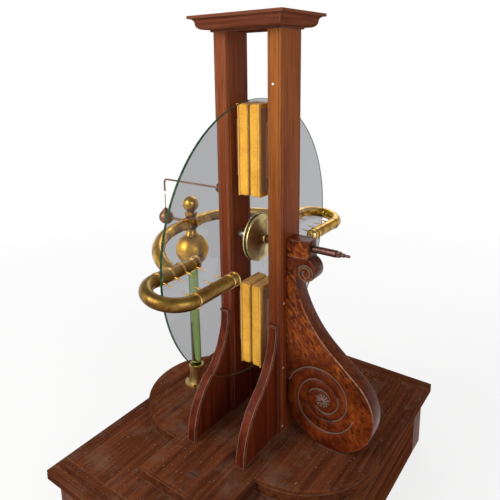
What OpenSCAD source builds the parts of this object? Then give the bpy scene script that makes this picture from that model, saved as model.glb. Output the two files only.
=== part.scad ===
// Frictional plate machine: a glass plate turns between sprung leather rubbers in a wooden frame,
// and a brass conductor on a glass column collects the charge through two combs.
// Millimetres, +Z up. The shaft runs along X, with the crank end at +X and the conductor at -X.
// The origin is the middle of the plinth's underside, below the plate.

/* [Plate and hub] */
// Diameter of the glass plate
plate_d = 600; // [560:5:640]
// Thickness of the glass plate
plate_t = 5; // [4:0.5:7]
// Height of the plate's rim above the base board
plate_lift = 133; // [110:1:160]
// Diameter of the hub flanges
flange_d = 104; // [80:1:120]
// Length of a hub flange along the shaft
flange_l = 19; // [14:0.5:22]
// Thickness of a hub flange at its rim
flange_rim_t = 2.5; // [1.5:0.1:4]
// Diameter of a hub flange's small end
flange_neck_d = 23; // [20.5:0.5:30]
// Width of the flat rim round a hub flange's cone
flange_flat = 4; // [2:0.5:6]
// Thickness of the leather washers at the glass
washer_t = 2; // [1:0.1:3]
// Wall of the sleeve that carries the glass
sleeve_wall = 3; // [2:0.1:4]

/* [Shaft] */
// Diameter of the shaft in its bearings
shaft_d = 16; // [12:0.5:18]
// Diameter of the free crank end
crank_end_d = 15; // [11:0.5:15]
// Length of the free crank end
crank_end_l = 52; // [40:1:70]
// Width of the square crank seat
crank_square = 10; // [7:0.5:10]
// Length of the square crank seat
crank_square_l = 9; // [6:0.5:14]
// Diameter of the thread spigot
spigot_d = 8; // [6:0.5:9]
// Length of the thread spigot
spigot_l = 8; // [5:0.5:12]
// Diameter of the shaft's tip
tip_d = 5.5; // [4:0.5:6]
// Length of the shaft's tip
tip_l = 11; // [6:0.5:16]
// Length of a coned shaft collar
collar_l = 16; // [8:0.5:20]
// Diameter of a shaft collar's large end, at the post
collar_d = 23; // [20.5:0.5:26]
// Wall of the bearing bushes
bush_wall = 4; // [3:0.5:6]
// Depth of the blind bearing in the conductor post
blind_bearing = 24; // [18:1:26]

/* [Posts and foot brackets] */
// Clear gap between the two posts
post_gap = 99; // [90:1:120]
// Thickness of a post along the shaft
post_t = 32; // [30:1:44]
// Width of a post across the shaft
post_w = 77; // [68:1:90]
// Height of a post above the plate's rim
post_head = 133; // [110:1:160]
// Radius of the bead on a post's corners
bead_r = 3; // [2:0.5:4]
// Width of the groove beside a bead
quirk = 1.2; // [0.8:0.1:2]
// Shoulder round a post's tenons
tenon_shoulder = 7; // [5:0.5:9]
// Height of a foot bracket
bracket_h = 258; // [200:1:300]
// Reach of a foot bracket from its post
bracket_reach = 132; // [100:1:150]
// Thickness of a foot bracket
bracket_t = 19; // [14:1:20]
// Width of a foot bracket's top end
bracket_top = 8; // [6:0.5:12]
// Height of the small cap on a foot bracket
bracket_cap = 5; // [3:0.5:8]

/* [Cornice] */
// Height of the cornice
cornice_h = 27; // [22:1:36]
// Overhang of the cornice past the posts along the shaft
cornice_over_x = 30; // [28:1:40]
// Overhang of the cornice past the posts across the shaft
cornice_over_y = 46; // [40:1:60]
// Height of the cornice's top fillet
cornice_fillet = 6; // [4:0.5:9]
// Depth of the cornice's moulding
cornice_depth = 24; // [18:1:26]
// Thickness of the neck board
neck_t = 4; // [3:0.5:8]
// Overhang of the neck board past the posts
neck_over = 4; // [2:0.5:8]

/* [Scroll bracket] */
// Thickness of the scroll bracket
scroll_t = 38; // [34:1:48]
// Radius of the large volute
volute_r = 98.5; // [85:0.5:105]
// Gap between the large volute and the post
volute_gap = 5.5; // [4:0.5:12]
// Radius of the small volute
curl_r = 26; // [24:0.5:30]
// Distance of the small volute's middle from the post
curl_x = 42; // [38:1:48]
// Width of the scroll's waist at the post
waist_w = 18; // [14:0.5:24]
// Angle where the large volute runs into the straight edge
sweep_a = 50; // [42:1:55]
// Length of the straight edge
sweep_l = 80; // [60:1:90]
// Length of the bearing block
block_l = 51; // [40:1:60]
// Height of the bearing block
block_h = 36; // [34:1:44]
// Width of the carved spiral grooves
groove_w = 4; // [2:0.5:6]
// Depth of the carved spiral grooves
groove_deep = 2.5; // [1:0.1:4]
// Radius of the large volute's eye
eye_r = 15; // [12:0.5:18]
// Start radius of the large volute's second groove
second_r = 72; // [66:1:76]
// Start radius of the small volute's groove
curl_line_r = 17; // [14:0.5:18]

/* [Rubbers] */
// Length of a rubber along the post
rubber_l = 194; // [160:1:200]
// Width of a rubber
rubber_w = 73; // [60:1:78]
// Thickness of a rubber's cushion
rubber_t = 17; // [14:0.5:22]
// Distance of a rubber's end from the plate's rim
rubber_rim = 8; // [4:0.5:20]
// Rounding of a cushion towards the glass
rubber_bevel = 5; // [3:0.5:8]
// Thickness of a rubber's back board
back_t = 7; // [6:0.5:10]
// Width of the cleat that slides in the post
cleat_w = 18; // [14:1:24]
// Length of the cleat
cleat_l = 120; // [90:1:140]
// Depth of the cleat in the post
cleat_in = 8; // [6:0.5:9]
// Room for the leaf spring behind the cleat
spring_room = 6; // [5:0.5:8]
// Thickness of the leaf spring
spring_t = 0.8; // [0.5:0.1:1.2]

/* [Base board] */
// Thickness of the base board
base_t = 30; // [26:1:40]
// Width of the base board's middle along the shaft
base_w = 211; // [190:1:230]
// Length of the base board across the shaft
base_l = 569; // [520:1:620]
// Radius of the two half-round lobes
lobe_r = 174; // [165:1:178]
// Straight length between the base board and the crank lobe's half round
crank_lobe_out = 4; // [2:1:24]
// Straight length between the base board and the conductor lobe's half round
conductor_lobe_out = 18; // [2:1:24]
// Distance of a hold-down screw from the middle
hold_y = 239; // [225:1:245]
// Diameter of a hold-down screw's head
hold_head_d = 22; // [16:0.5:26]

/* [Plinth] */
// Width of the plinth's top along the shaft
plinth_w = 571; // [560:1:640]
// Length of the plinth's top across the shaft
plinth_l = 772; // [720:1:840]
// Height of the plinth
plinth_h = 170; // [130:1:220]
// Thickness of the plinth's top
plinth_top_t = 24; // [20:1:32]
// Width of a clamped end
clamp_w = 46; // [36:1:60]
// Inset of the apron under the top
apron_inset = 17; // [10:1:26]
// Thickness of the apron boards
apron_t = 20; // [16:1:26]
// Width of a corner stile on the long side
stile_w = 56; // [46:1:70]
// Width of a corner stile on the short side
stile_d = 40; // [36:1:60]

/* [Conductor] */
// Distance of the glass column from the plate
column_x = 197; // [185:1:215]
// Diameter of the glass column
column_d = 25; // [20:0.5:28]
// Diameter of the brass foot
foot_d = 58; // [54:1:66]
// Height of the brass foot
foot_h = 55; // [45:1:70]
// Wall of the brass sockets on the glass
socket_wall = 3.5; // [2.5:0.1:5]
// Diameter of the large ball
ball_d = 80; // [70:1:90]
// Height of the shaft's axis above the large ball's middle
ball_drop = 68; // [64:1:80]
// Diameter of the tee ball
tee_d = 39; // [38:0.5:44]
// Diameter of the finial ball
finial_d = 38; // [30:0.5:42]
// Height of the finial ball's middle above the tee
finial_rise = 46; // [46:1:60]
// Diameter of the brass tubes
tube_d = 26; // [20:0.5:27]
// Wall of the brass tubes
tube_wall = 1.2; // [0.8:0.1:2]
// Distance of the comb legs from the plate's middle
comb_x = 50; // [44:1:56]
// Angle by which the tube and the combs dip from the tee towards the plate
arc_dip = 7; // [3:0.5:10]
// Gap between the plate's rim and the comb's bend
comb_rim_gap = 5.5; // [4:0.5:12]
// Distance of a comb leg's end from the shaft's axis
comb_end = 157; // [145:1:165]
// Distance of the tube's end from the shaft's axis
arc_end = 220.5; // [210:0.5:226]
// Number of points on a comb leg
points_n = 4; // [3:1:5]
// Spacing of the points
points_pitch = 31; // [16:0.5:33]
// Length of a point in front of its leg
point_l = 26; // [12:0.5:28]
// Diameter of a point's base
point_d = 6; // [4:0.5:8]

/* [Side ball and earth rod] */
// Reach of the side ball from the column
side_reach = 81; // [70:1:85]
// Diameter of the side ball
side_ball_d = 35; // [28:0.5:38]
// Diameter of the side rod
side_rod_d = 7; // [5:0.5:9]
// Height of the needle's tip above the side ball's middle
needle_h = 60; // [50:1:64]
// Diameter of the needle
needle_d = 2; // [1.5:0.1:3]
// Gap between the needle and the earth rod
spark_gap = 7; // [3:0.5:12]
// Diameter of the earth rod
rod_d = 4.4; // [3:0.1:6]
// Height of the earth rod above the shaft's axis
rod_rise = 97; // [90:1:110]
// Radius of the earth rod's bend
rod_bend = 9; // [7:0.5:14]
// Length of the turned boss that holds the earth rod
boss_l = 33; // [26:1:40]
// Diameter of the turned boss at the post
boss_d = 26; // [20:0.5:32]

/* [Hidden] */
$fn = 64;
// Clearances: a shaft in its bush, a fixed piece in its hole, a sliding cleat, neighbours that move
run = 0.05;
fit = 0.05;
slide = 0.3;
clear = 0.3;
// Small lengths that cuts run past a face
over = 1;

deck = plinth_h + base_t;
plate_r = plate_d / 2;
shaft_r = shaft_d / 2;
shaft_z = deck + plate_lift + plate_r;
post_h = plate_lift + plate_d + post_head;
post_in = post_gap / 2;
post_out = post_in + post_t;
post_x = post_in + post_t / 2;
post_top = deck + post_h;

// Edge moulding of boards: a rounded arris over a fine groove
arris_r = 4;
groove_r = 1.2;
groove_drop = 8;

// Joints in the wood
mortise_gap = 0.15;
base_floor = 6;
head_tenon = 14;
tongue_t = 8;
tongue_l = 12;
apron_tenon_t = 8;
apron_tenon_l = 22;
apron_tenon_drop = 16;
peg_r = 4;
peg_l = 18;
peg_in = 60;

// Screws
hold_head_t = 6;
hold_shank_r = 5;
hold_bite = 15;
slot_w = 2.6;
slot_deep = 2;
foot_screw_n = 3;
foot_screw_r = 1.8;
foot_screw_head_r = 3.4;
foot_screw_head_t = 1.6;
foot_screw_l = 14;

// Hub
hub_x = plate_t / 2 + washer_t;
sleeve_r = shaft_r + sleeve_wall;
washer_inset = 4;
washer_r = flange_d / 2 - washer_inset;
collar_lip = 0.8;
bush_r = shaft_r + bush_wall;
bush_lip = 2;
bush_lip_t = 2;

// Scroll bracket, in the plane of X and Z
volute_c = [post_out + volute_gap + volute_r, deck + volute_r];
curl_c = [post_out + curl_x, shaft_z - block_h / 2 - curl_r + over];
sweep_n = [cos(sweep_a), sin(sweep_a)];
sweep_t = [-sin(sweep_a), cos(sweep_a)];
sweep_end = volute_c + volute_r * sweep_n + sweep_l * sweep_t;
hollow_r = (sweep_end.x - post_out - waist_w) / (1 - cos(sweep_a));
hollow_c = sweep_end + hollow_r * sweep_n;
heel_rise = 33;
// Eye of the large volute: its shift from the middle, and how far it stands proud
eye_shift = [-14, 9];
eye_proud = 1.5;
// Two grooves wind round the eye: the first leaves the rim, the second starts opposite, inside the face
first_start = 171;
first_turns = 1.42;
second_start = -18;
second_hold = 100;
second_turns = 1.31;
second_eye_gap = 4;
// Eye of the small volute: its shift from the middle, and the groove round it
curl_shift = [3.5, -8];
curl_eye_r = 4;
curl_start = 150;
curl_turns = 2;
spiral_steps = 56;

// Rubbers: distance of the glass face from the plate's middle plane, and of the middle from the shaft
rubber_x = plate_t / 2 + clear;
rubber_mid = plate_r - rubber_rim - rubber_l / 2;
back_x = rubber_x + rubber_t;
cleat_x = back_x + back_t;
cleat_end = post_in + cleat_in;
mortise_end = cleat_end + spring_room;
back_in = 3;
spring_side = 2;
spring_end = 15;
spring_w = cleat_w - 2 * spring_side;
spring_l = cleat_l - 2 * spring_end;
spring_rise = spring_room - spring_t;
spring_r = (spring_l * spring_l / 4 + spring_rise * spring_rise) / (2 * spring_rise);
cushion_corner = 5;
cushion_pull = 1.2;
cushion_crown = 0.8;
side_points = 9;
corner_points = 4;
bevel_rings = 4;
side_rings = 4;

// Conductor
column_r = column_d / 2;
socket_r = column_r + socket_wall;
tube_r = tube_d / 2;
ball_r = ball_d / 2;
tee_r = tee_d / 2;
finial_r = finial_d / 2;
ball_z = shaft_z - ball_drop;
comb_z = shaft_z - column_x * tan(arc_dip);
comb_bend_y = plate_r + comb_rim_gap + tube_r - comb_x;
foot_flange_t = 4;
foot_waist = 32;
socket_deep = 47;
ball_socket_deep = 26;
ball_collar_l = 12;
ball_collar_z = ball_z - sqrt(ball_r * ball_r - socket_r * socket_r);
neck_foot_r = 17;
neck_head_r = 11.5;
spigot_deep = 4;
ball_flat_z = ball_z + sqrt(ball_r * ball_r - neck_foot_r * neck_foot_r);
tee_foot_z = shaft_z - sqrt(tee_r * tee_r - neck_head_r * neck_head_r);
tee_pin_r = 5;
tee_collar_wall = 2.5;
tee_collar_over = 3;
tee_collar_r = tube_r + tee_collar_wall;
tee_collar_l = tee_r + tee_collar_over;
finial_seat_r = 12;
finial_foot_z = shaft_z + sqrt(tee_r * tee_r - finial_seat_r * finial_seat_r);
// Pins of the neck and the finial stop short of the tube inside the tee
neck_pin = shaft_z - tee_foot_z - tube_r - clear;
finial_pin = finial_foot_z - shaft_z - tube_r - clear;
finial_neck_r = 7.5;
// The bent tube and the combs lie in one plane through the tee, with the combs' middle at the plate
dip_run = column_x / cos(arc_dip);
arc_run = dip_run - comb_x;
arc_lead = 5;
arc_start = tee_collar_l + arc_lead;
arc_along = arc_end - arc_start;
arc_r = (arc_run * arc_run + arc_along * arc_along) / (2 * arc_run);
arc_turn = atan2(arc_along, arc_r - arc_run);
arc_join_gap = 1;
ring_wall = 1.4;
ring_r = tube_r + ring_wall;
ring_l = 3;
cap_plug_l = 8;
cap_ring_l = 3.5;
point_in = 13;
point_first = comb_end + point_in;
point_seat = 3;
point_ferrule = 2.5;
point_step = 0.8;
point_tip_r = 0.4;

side_x = column_x + side_reach;
side_ball_r = side_ball_d / 2;
side_rod_r = side_rod_d / 2;
side_seat = 8;
needle_seat_r = 12.5;
needle_cone_h = 13;
needle_lip = 0.5;
needle_foot_z = shaft_z + sqrt(side_ball_r * side_ball_r - needle_seat_r * needle_seat_r);
rod_r = rod_d / 2;
rod_z = shaft_z + rod_rise;
rod_tip_z = shaft_z + needle_h + spark_gap;
rod_floor = 6;
rod_in = boss_l - rod_floor;
boss_pin_r = 7;
boss_pin_l = 12;
boss_tip_wall = 3;
boss_tip_r = rod_r + boss_tip_wall;

echo(plinth = [plinth_w, plinth_l], height = post_top + neck_t + cornice_h);

mahogany = "#6b2f1a";
walnut = "#5a3a26";
burl = "#8a5a32";
brass = "#b08d3c";
iron = "#4b4541";
leather = "#d9a928";

// Placing helpers
module on_shaft(x = 0) translate([x, 0, shaft_z]) rotate([0, 90, 0]) children();
module on_column(z = 0) translate([-column_x, 0, z]) children();
module to_conductor_side() mirror([1, 0, 0]) children();
module to_back() mirror([0, 1, 0]) children();
module ring(outer, inner, length) {
    linear_extrude(length) difference() {
        circle(outer);
        circle(inner);
    }
}

// A section w wide and t high, with rounded upper corners and a fine groove below each
module moulded_section(w, t) {
    difference() {
        union() {
            translate([-w / 2, 0]) square([w, t - arris_r]);
            translate([arris_r - w / 2, 0]) square([w - 2 * arris_r, t]);
            for (s = [-1, 1]) translate([s * (w / 2 - arris_r), t - arris_r]) circle(arris_r);
        }
        for (s = [-1, 1]) translate([s * w / 2, t - groove_drop]) circle(groove_r);
    }
}

// A board moulded along all four edges, with mitred corners
module moulded_board(w, l, t) {
    intersection() {
        rotate([90, 0, 0]) linear_extrude(l + over, center = true) moulded_section(w, t);
        rotate([90, 0, 90]) linear_extrude(w + over, center = true) moulded_section(l, t);
    }
}

module block(size, at) translate([at.x - size.x / 2, at.y - size.y / 2, at.z]) cube(size);

// Plinth
field_l = plinth_l - 2 * clamp_w;
apron_h = plinth_h - plinth_top_t;
apron_x = plinth_w / 2 - apron_inset;
apron_y = plinth_l / 2 - apron_inset;
tongue_z = plinth_h - plinth_top_t / 2 - tongue_t / 2;
peg_x = plinth_w / 2 - peg_in;

module tongue_pegs(r) {
    for (sx = [-1, 1], sy = [-1, 1])
        translate([sx * peg_x, sy * (field_l / 2 + tongue_l / 2), plinth_h - peg_l])
            cylinder(r = r, h = peg_l);
}

module hold_places() for (s = [-1, 1]) translate([0, s * hold_y, deck]) children();

module hold_holes() hold_places() {
    translate([0, 0, -hold_head_t]) cylinder(r = hold_head_d / 2 + fit, h = hold_head_t + over);
    translate([0, 0, -base_t - hold_bite - fit])
        cylinder(r = hold_shank_r + fit, h = base_t + hold_bite);
}

module plinth_top() {
    color(walnut) difference() {
        intersection() {
            translate([0, 0, plinth_h - plinth_top_t]) moulded_board(plinth_w, plinth_l, plinth_top_t);
            union() {
                block([plinth_w, field_l, plinth_top_t], [0, 0, plinth_h - plinth_top_t]);
                block([plinth_w - 4 * tongue_l, field_l + 2 * tongue_l, tongue_t], [0, 0, tongue_z]);
            }
        }
        tongue_pegs(peg_r + fit);
        hold_holes();
    }
}

module plinth_clamps() {
    color(walnut) difference() {
        translate([0, 0, plinth_h - plinth_top_t]) moulded_board(plinth_w, plinth_l, plinth_top_t);
        block([plinth_w + over, field_l, plinth_h], [0, 0, 0]);
        block([plinth_w - 4 * tongue_l + 2 * mortise_gap, field_l + 2 * (tongue_l + mortise_gap),
               tongue_t + 2 * mortise_gap], [0, 0, tongue_z - mortise_gap]);
        tongue_pegs(peg_r + fit);
    }
}

module clamp_pegs() color("#2c1a10") tongue_pegs(peg_r);

// One end tenon of an apron, running along +X from the origin
module apron_tenon(gap) {
    translate([0, -apron_tenon_t / 2 - gap, apron_tenon_drop - gap])
        cube([apron_tenon_l + gap, apron_tenon_t + 2 * gap, apron_h - 2 * (apron_tenon_drop - gap)]);
}

module side_tenons(gap) {
    for (sx = [-1, 1], sy = [-1, 1])
        translate([sx * (apron_x - apron_t / 2), sy * (apron_y - stile_w), 0])
            rotate(90 * sy) apron_tenon(gap);
}

module end_tenons(gap) {
    for (sx = [-1, 1], sy = [-1, 1])
        translate([sx * (apron_x - stile_d), sy * (apron_y - apron_t / 2), 0])
            rotate(90 - 90 * sx) apron_tenon(gap);
}

module plinth_stiles() {
    color(walnut) difference() {
        for (sx = [-1, 1], sy = [-1, 1])
            block([stile_d, stile_w, apron_h],
                  [sx * (apron_x - stile_d / 2), sy * (apron_y - stile_w / 2), 0]);
        side_tenons(mortise_gap);
        end_tenons(mortise_gap);
    }
}

module plinth_side_aprons() {
    color(walnut) {
        for (s = [-1, 1])
            block([apron_t, 2 * (apron_y - stile_w), apron_h], [s * (apron_x - apron_t / 2), 0, 0]);
        side_tenons(0);
    }
}

module plinth_end_aprons() {
    color(walnut) {
        for (s = [-1, 1])
            block([2 * (apron_x - stile_d), apron_t, apron_h], [0, s * (apron_y - apron_t / 2), 0]);
        end_tenons(0);
    }
}

// Base board
tenon_x = post_t - 2 * tenon_shoulder;
tenon_y = post_w - 2 * tenon_shoulder;
foot_tenon = base_t - base_floor;

module post_tenons(gap) {
    x = tenon_x + 2 * gap;
    y = tenon_y + 2 * gap;
    for (s = [-1, 1]) {
        block([x, y, foot_tenon + gap], [s * post_x, 0, deck - foot_tenon - gap]);
        block([x, y, neck_t + head_tenon + gap], [s * post_x, 0, post_top]);
    }
}

module base_board() {
    color(mahogany) difference() {
        union() {
            difference() {
                translate([0, 0, plinth_h]) moulded_board(base_w, base_l, base_t);
                block([base_w + over, 2 * lobe_r, base_t + 2 * over], [0, 0, plinth_h - over]);
            }
            block([base_w, 2 * lobe_r, base_t], [0, 0, plinth_h]);
        }
        post_tenons(mortise_gap);
        hold_holes();
    }
}

// A lobe on the side of the base board, moulded round its edge: a straight length, then a half round
module lobe(out) {
    translate([base_w / 2, 0, plinth_h]) {
        rotate([90, 0, 90]) linear_extrude(out) moulded_section(2 * lobe_r, base_t);
        translate([out, 0, 0]) rotate(-90) rotate_extrude(angle = 180) intersection() {
            moulded_section(2 * lobe_r, base_t);
            square([lobe_r, base_t]);
        }
    }
}

module crank_lobe() color(mahogany) lobe(crank_lobe_out);

module conductor_lobe() {
    color(mahogany) difference() {
        to_conductor_side() lobe(conductor_lobe_out);
        foot_screw_places() cylinder(r = foot_screw_r + fit, h = 2 * foot_screw_l, center = true);
    }
}

module hold_down_screws() {
    color(walnut) hold_places() difference() {
        union() {
            translate([0, 0, -hold_head_t]) cylinder(r = hold_head_d / 2, h = hold_head_t);
            translate([0, 0, -base_t - hold_bite])
                cylinder(r = hold_shank_r, h = base_t + hold_bite - hold_head_t);
        }
        block([hold_head_d + over, slot_w, slot_deep + over], [0, 0, -slot_deep]);
    }
}

// Posts
// A post's section: rounded corners set off by a fine groove on both faces
module post_section() {
    difference() {
        square([post_t, post_w], center = true);
        for (sx = [-1, 1], sy = [-1, 1]) translate([sx * post_t / 2, sy * post_w / 2]) {
            difference() {
                square(2 * bead_r, center = true);
                translate([-sx * bead_r, -sy * bead_r]) circle(bead_r);
            }
            translate([-sx * (2 * bead_r + quirk / 2), 0]) square([quirk, 2 * bead_r], center = true);
            translate([0, -sy * (2 * bead_r + quirk / 2)]) square([2 * bead_r, quirk], center = true);
        }
    }
}

// The closed slots in a post's inner face where the rubbers' cleats slide
module cleat_slots() {
    for (s = [-1, 1])
        block([2 * mortise_end - 2 * post_in + over, cleat_w + 2 * slide, cleat_l + 2 * slide],
              [post_in - over / 2, 0, shaft_z + s * rubber_mid - cleat_l / 2 - slide]);
}

module post() {
    difference() {
        union() {
            translate([post_x, 0, deck]) linear_extrude(post_h) post_section();
            intersection() {
                post_tenons(0);
                block([post_t, post_w, 2 * post_top], [post_x, 0, 0]);
            }
        }
        cleat_slots();
    }
}

module crank_post() {
    color(mahogany) difference() {
        post();
        on_shaft(post_in - over) cylinder(r = bush_r + fit, h = post_t + 2 * over);
    }
}

module conductor_post() {
    color(mahogany) difference() {
        to_conductor_side() post();
        on_shaft(-post_in - blind_bearing) cylinder(r = bush_r + fit, h = blind_bearing + over);
        translate([-post_out - over, 0, rod_z]) rotate([0, 90, 0])
            cylinder(r = boss_pin_r + fit, h = boss_pin_l + over + fit);
    }
}

// Foot brackets: an ogee of two equal arcs between a plumb top and a plumb foot
ogee_top = post_w / 2 + bracket_top;
ogee_foot = post_w / 2 + bracket_reach;
ogee_d = ogee_foot - ogee_top;
ogee_r = (ogee_d * ogee_d + bracket_h * bracket_h) / (4 * ogee_d);
bracket_line_in = 5;
bracket_line_w = 1.8;
bracket_line_deep = 1.2;
bracket_cap_over = 2.5;

// The bracket's side view, shrunk along its curved edge by inset
module ogee(inset = 0) {
    intersection() {
        translate([post_w / 2, 0]) square([bracket_reach, bracket_h / 2]);
        translate([ogee_foot - ogee_r, 0]) circle(ogee_r - inset);
    }
    difference() {
        translate([post_w / 2, bracket_h / 2]) square([bracket_top + ogee_d / 2 - inset, bracket_h / 2]);
        translate([ogee_top + ogee_r, bracket_h]) circle(ogee_r + inset);
    }
}

module foot_bracket() {
    translate([post_x, 0, deck]) rotate([90, 0, -90]) difference() {
        union() {
            linear_extrude(bracket_t, center = true) ogee();
            translate([post_w / 2, bracket_h, -bracket_t / 2 - bracket_cap_over / 2])
                cube([bracket_top + bracket_cap_over, bracket_cap, bracket_t + bracket_cap_over]);
        }
        for (s = [-1, 1]) translate([0, 0, s * bracket_t / 2])
            linear_extrude(2 * bracket_line_deep, center = true) difference() {
                ogee(bracket_line_in);
                ogee(bracket_line_in + bracket_line_w);
            }
    }
}

module crank_front_bracket() color(mahogany) foot_bracket();
module crank_back_bracket() color(mahogany) to_back() foot_bracket();
module conductor_front_bracket() color(mahogany) to_conductor_side() foot_bracket();
module conductor_back_bracket() color(mahogany) to_conductor_side() to_back() foot_bracket();

// Cornice
cornice_z = post_top + neck_t;
cornice_x = post_out + cornice_over_x;
cornice_y = post_w / 2 + cornice_over_y;
cyma_step = 3;
cyma_steps = 8;
// Parts of the moulding's depth and height that its upper hollow takes; a round takes the rest
hollow_in = 0.4;
hollow_down = 0.45;

// A section of the cornice, half wide: a top fillet over a quarter hollow and a quarter round
module cornice_section(half) {
    hollow = [for (i = [0:cyma_steps]) let (q = 90 * i / cyma_steps)
        [hollow_in * sin(q), hollow_down * (1 - cos(q))]];
    swell = [for (i = [1:cyma_steps]) let (q = 90 * i / cyma_steps)
        [1 - (1 - hollow_in) * cos(q), hollow_down + (1 - hollow_down) * sin(q)]];
    cyma = [for (p = concat(hollow, swell))
        [half - cyma_step - (cornice_depth - cyma_step) * p.x, (cornice_h - cornice_fillet) * (1 - p.y)]];
    edge = concat([[half, cornice_h], [half, cornice_h - cornice_fillet]], cyma);
    mirrored = [for (i = [len(edge) - 1:-1:0]) [-edge[i].x, edge[i].y]];
    polygon(concat(edge, mirrored));
}

module cornice() {
    color(mahogany) difference() {
        translate([0, 0, cornice_z]) intersection() {
            rotate([90, 0, 0]) linear_extrude(2 * cornice_y + over, center = true)
                cornice_section(cornice_x);
            rotate([90, 0, 90]) linear_extrude(2 * cornice_x + over, center = true)
                cornice_section(cornice_y);
        }
        post_tenons(mortise_gap);
    }
}

module neck_board() {
    color(mahogany) difference() {
        block([2 * (post_out + neck_over), post_w + 2 * neck_over, neck_t], [0, 0, post_top]);
        post_tenons(mortise_gap);
    }
}

// Scroll bracket
// Its outline in X and Z: two volutes joined by a straight sweep and a hollow, and the bearing block
module scroll_outline() {
    translate(volute_c) circle(volute_r);
    translate(curl_c) circle(curl_r);
    translate([post_out, shaft_z - block_h / 2]) square([block_l, block_h]);
    translate([post_out, curl_c.y]) square([curl_x, curl_r]);
    difference() {
        polygon([[post_out, volute_c.y + heel_rise], volute_c, volute_c + volute_r * sweep_n, sweep_end,
                 [sweep_end.x, curl_c.y], [post_out, curl_c.y]]);
        translate(hollow_c) circle(hollow_r);
    }
}

// A groove that winds clockwise round the origin from angle a0: it holds radius r0 for an angle, then
// spirals in to radius r1
module spiral_band(r0, r1, a0, turns, hold = 0) {
    whole = 360 * turns;
    angles = [for (i = [0:spiral_steps]) a0 - whole * i / spiral_steps];
    radii = [for (a = angles) r0 * pow(r1 / r0, max(0, a0 - a - hold) / (whole - hold))];
    outer = [for (i = [0:spiral_steps]) (radii[i] + groove_w / 2) * [cos(angles[i]), sin(angles[i])]];
    inner = [for (i = [spiral_steps:-1:0]) (radii[i] - groove_w / 2) * [cos(angles[i]), sin(angles[i])]];
    polygon(concat(outer, inner));
}

eye_c = volute_c + eye_shift;
first_along = eye_shift * [cos(first_start), sin(first_start)];
// Distance from the eye to the rim where the first groove starts
first_r = sqrt(first_along * first_along - eye_shift * eye_shift + volute_r * volute_r) - first_along;

module scroll_carving() {
    linear_extrude(2 * groove_deep, center = true) {
        translate(eye_c) {
            spiral_band(first_r, eye_r + groove_w / 2, first_start, first_turns);
            spiral_band(second_r, eye_r + groove_w / 2 + second_eye_gap, second_start, second_turns,
                        second_hold);
        }
        translate(curl_c + curl_shift) spiral_band(curl_line_r, curl_eye_r, curl_start, curl_turns);
    }
}

module scroll_bracket() {
    color(burl) difference() {
        rotate([90, 0, 0]) {
            linear_extrude(scroll_t, center = true) scroll_outline();
            translate(eye_c) cylinder(r = eye_r, h = scroll_t + 2 * eye_proud, center = true);
        }
        for (s = [-1, 1]) translate([0, s * scroll_t / 2, 0]) rotate([90, 0, 0]) scroll_carving();
        on_shaft(post_out - over) cylinder(r = bush_r + fit, h = block_l + 2 * over);
    }
}

// Bearings and shaft
module bush(length) ring(bush_r, shaft_r + run, length);

module crank_post_bush() color(brass) on_shaft(post_in) bush(post_t);

module conductor_post_bush() color(brass) on_shaft(-post_in - blind_bearing) bush(blind_bearing);

module scroll_bush() {
    color("#c9b28a") on_shaft(post_out) {
        bush(block_l);
        translate([0, 0, block_l]) ring(bush_r + bush_lip, shaft_r + run, bush_lip_t);
    }
}

shaft_start = -post_in - blind_bearing + clear;
shoulder_x = post_out + block_l + bush_lip_t;
square_x = shoulder_x + crank_end_l;
spigot_x = square_x + crank_square_l;
tip_x = spigot_x + spigot_l;

module shaft() {
    color(iron) {
        on_shaft(shaft_start) cylinder(r = shaft_r, h = shoulder_x - shaft_start);
        on_shaft(shoulder_x) cylinder(r = crank_end_d / 2, h = crank_end_l);
        block([crank_square_l, crank_square, crank_square],
              [square_x + crank_square_l / 2, 0, shaft_z - crank_square / 2]);
        on_shaft(spigot_x) cylinder(r = spigot_d / 2, h = spigot_l);
        on_shaft(tip_x) cylinder(r = tip_d / 2, h = tip_l);
    }
}

module shaft_collars() {
    color("silver") for (s = [0, 1]) mirror([s, 0, 0]) on_shaft(clear - post_in) difference() {
        cylinder(r1 = collar_d / 2, r2 = shaft_r + collar_lip, h = collar_l);
        translate([0, 0, -over]) cylinder(r = shaft_r + fit, h = collar_l + 2 * over);
    }
}

// Plate and hub
module glass_plate() color("#9fd0b4", 0.5) on_shaft(-plate_t / 2) ring(plate_r, sleeve_r + fit, plate_t);

module hub_washers() {
    color(leather) for (x = [-hub_x, plate_t / 2]) on_shaft(x) ring(washer_r, sleeve_r + fit, washer_t);
}

// A coned flange along +Z: flat rim, faintly hollow flank, small boss
flank_steps = 12;
flank_bow = 1.12;
boss_end_l = 4;
flank_r = flange_d / 2 - flange_flat - flange_neck_d / 2;
flank_l = flange_l - flange_rim_t - boss_end_l;

module hub_flange(bore) {
    flank = [for (i = [0:flank_steps]) let (t = i / flank_steps)
        [flange_neck_d / 2 + flank_r * pow(1 - t, flank_bow), flange_rim_t + flank_l * t]];
    rotate_extrude() polygon(concat([[bore, 0], [flange_d / 2, 0], [flange_d / 2, flange_rim_t]], flank,
                                    [[flange_neck_d / 2, flange_l], [bore, flange_l]]));
}

module crank_hub_flange() {
    color(brass) on_shaft(hub_x) {
        hub_flange(shaft_r + fit);
        translate([0, 0, -2 * hub_x]) ring(sleeve_r, shaft_r + fit, 2 * hub_x);
    }
}

module conductor_hub_flange() color(brass) to_conductor_side() on_shaft(hub_x) hub_flange(shaft_r + fit);

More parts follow.
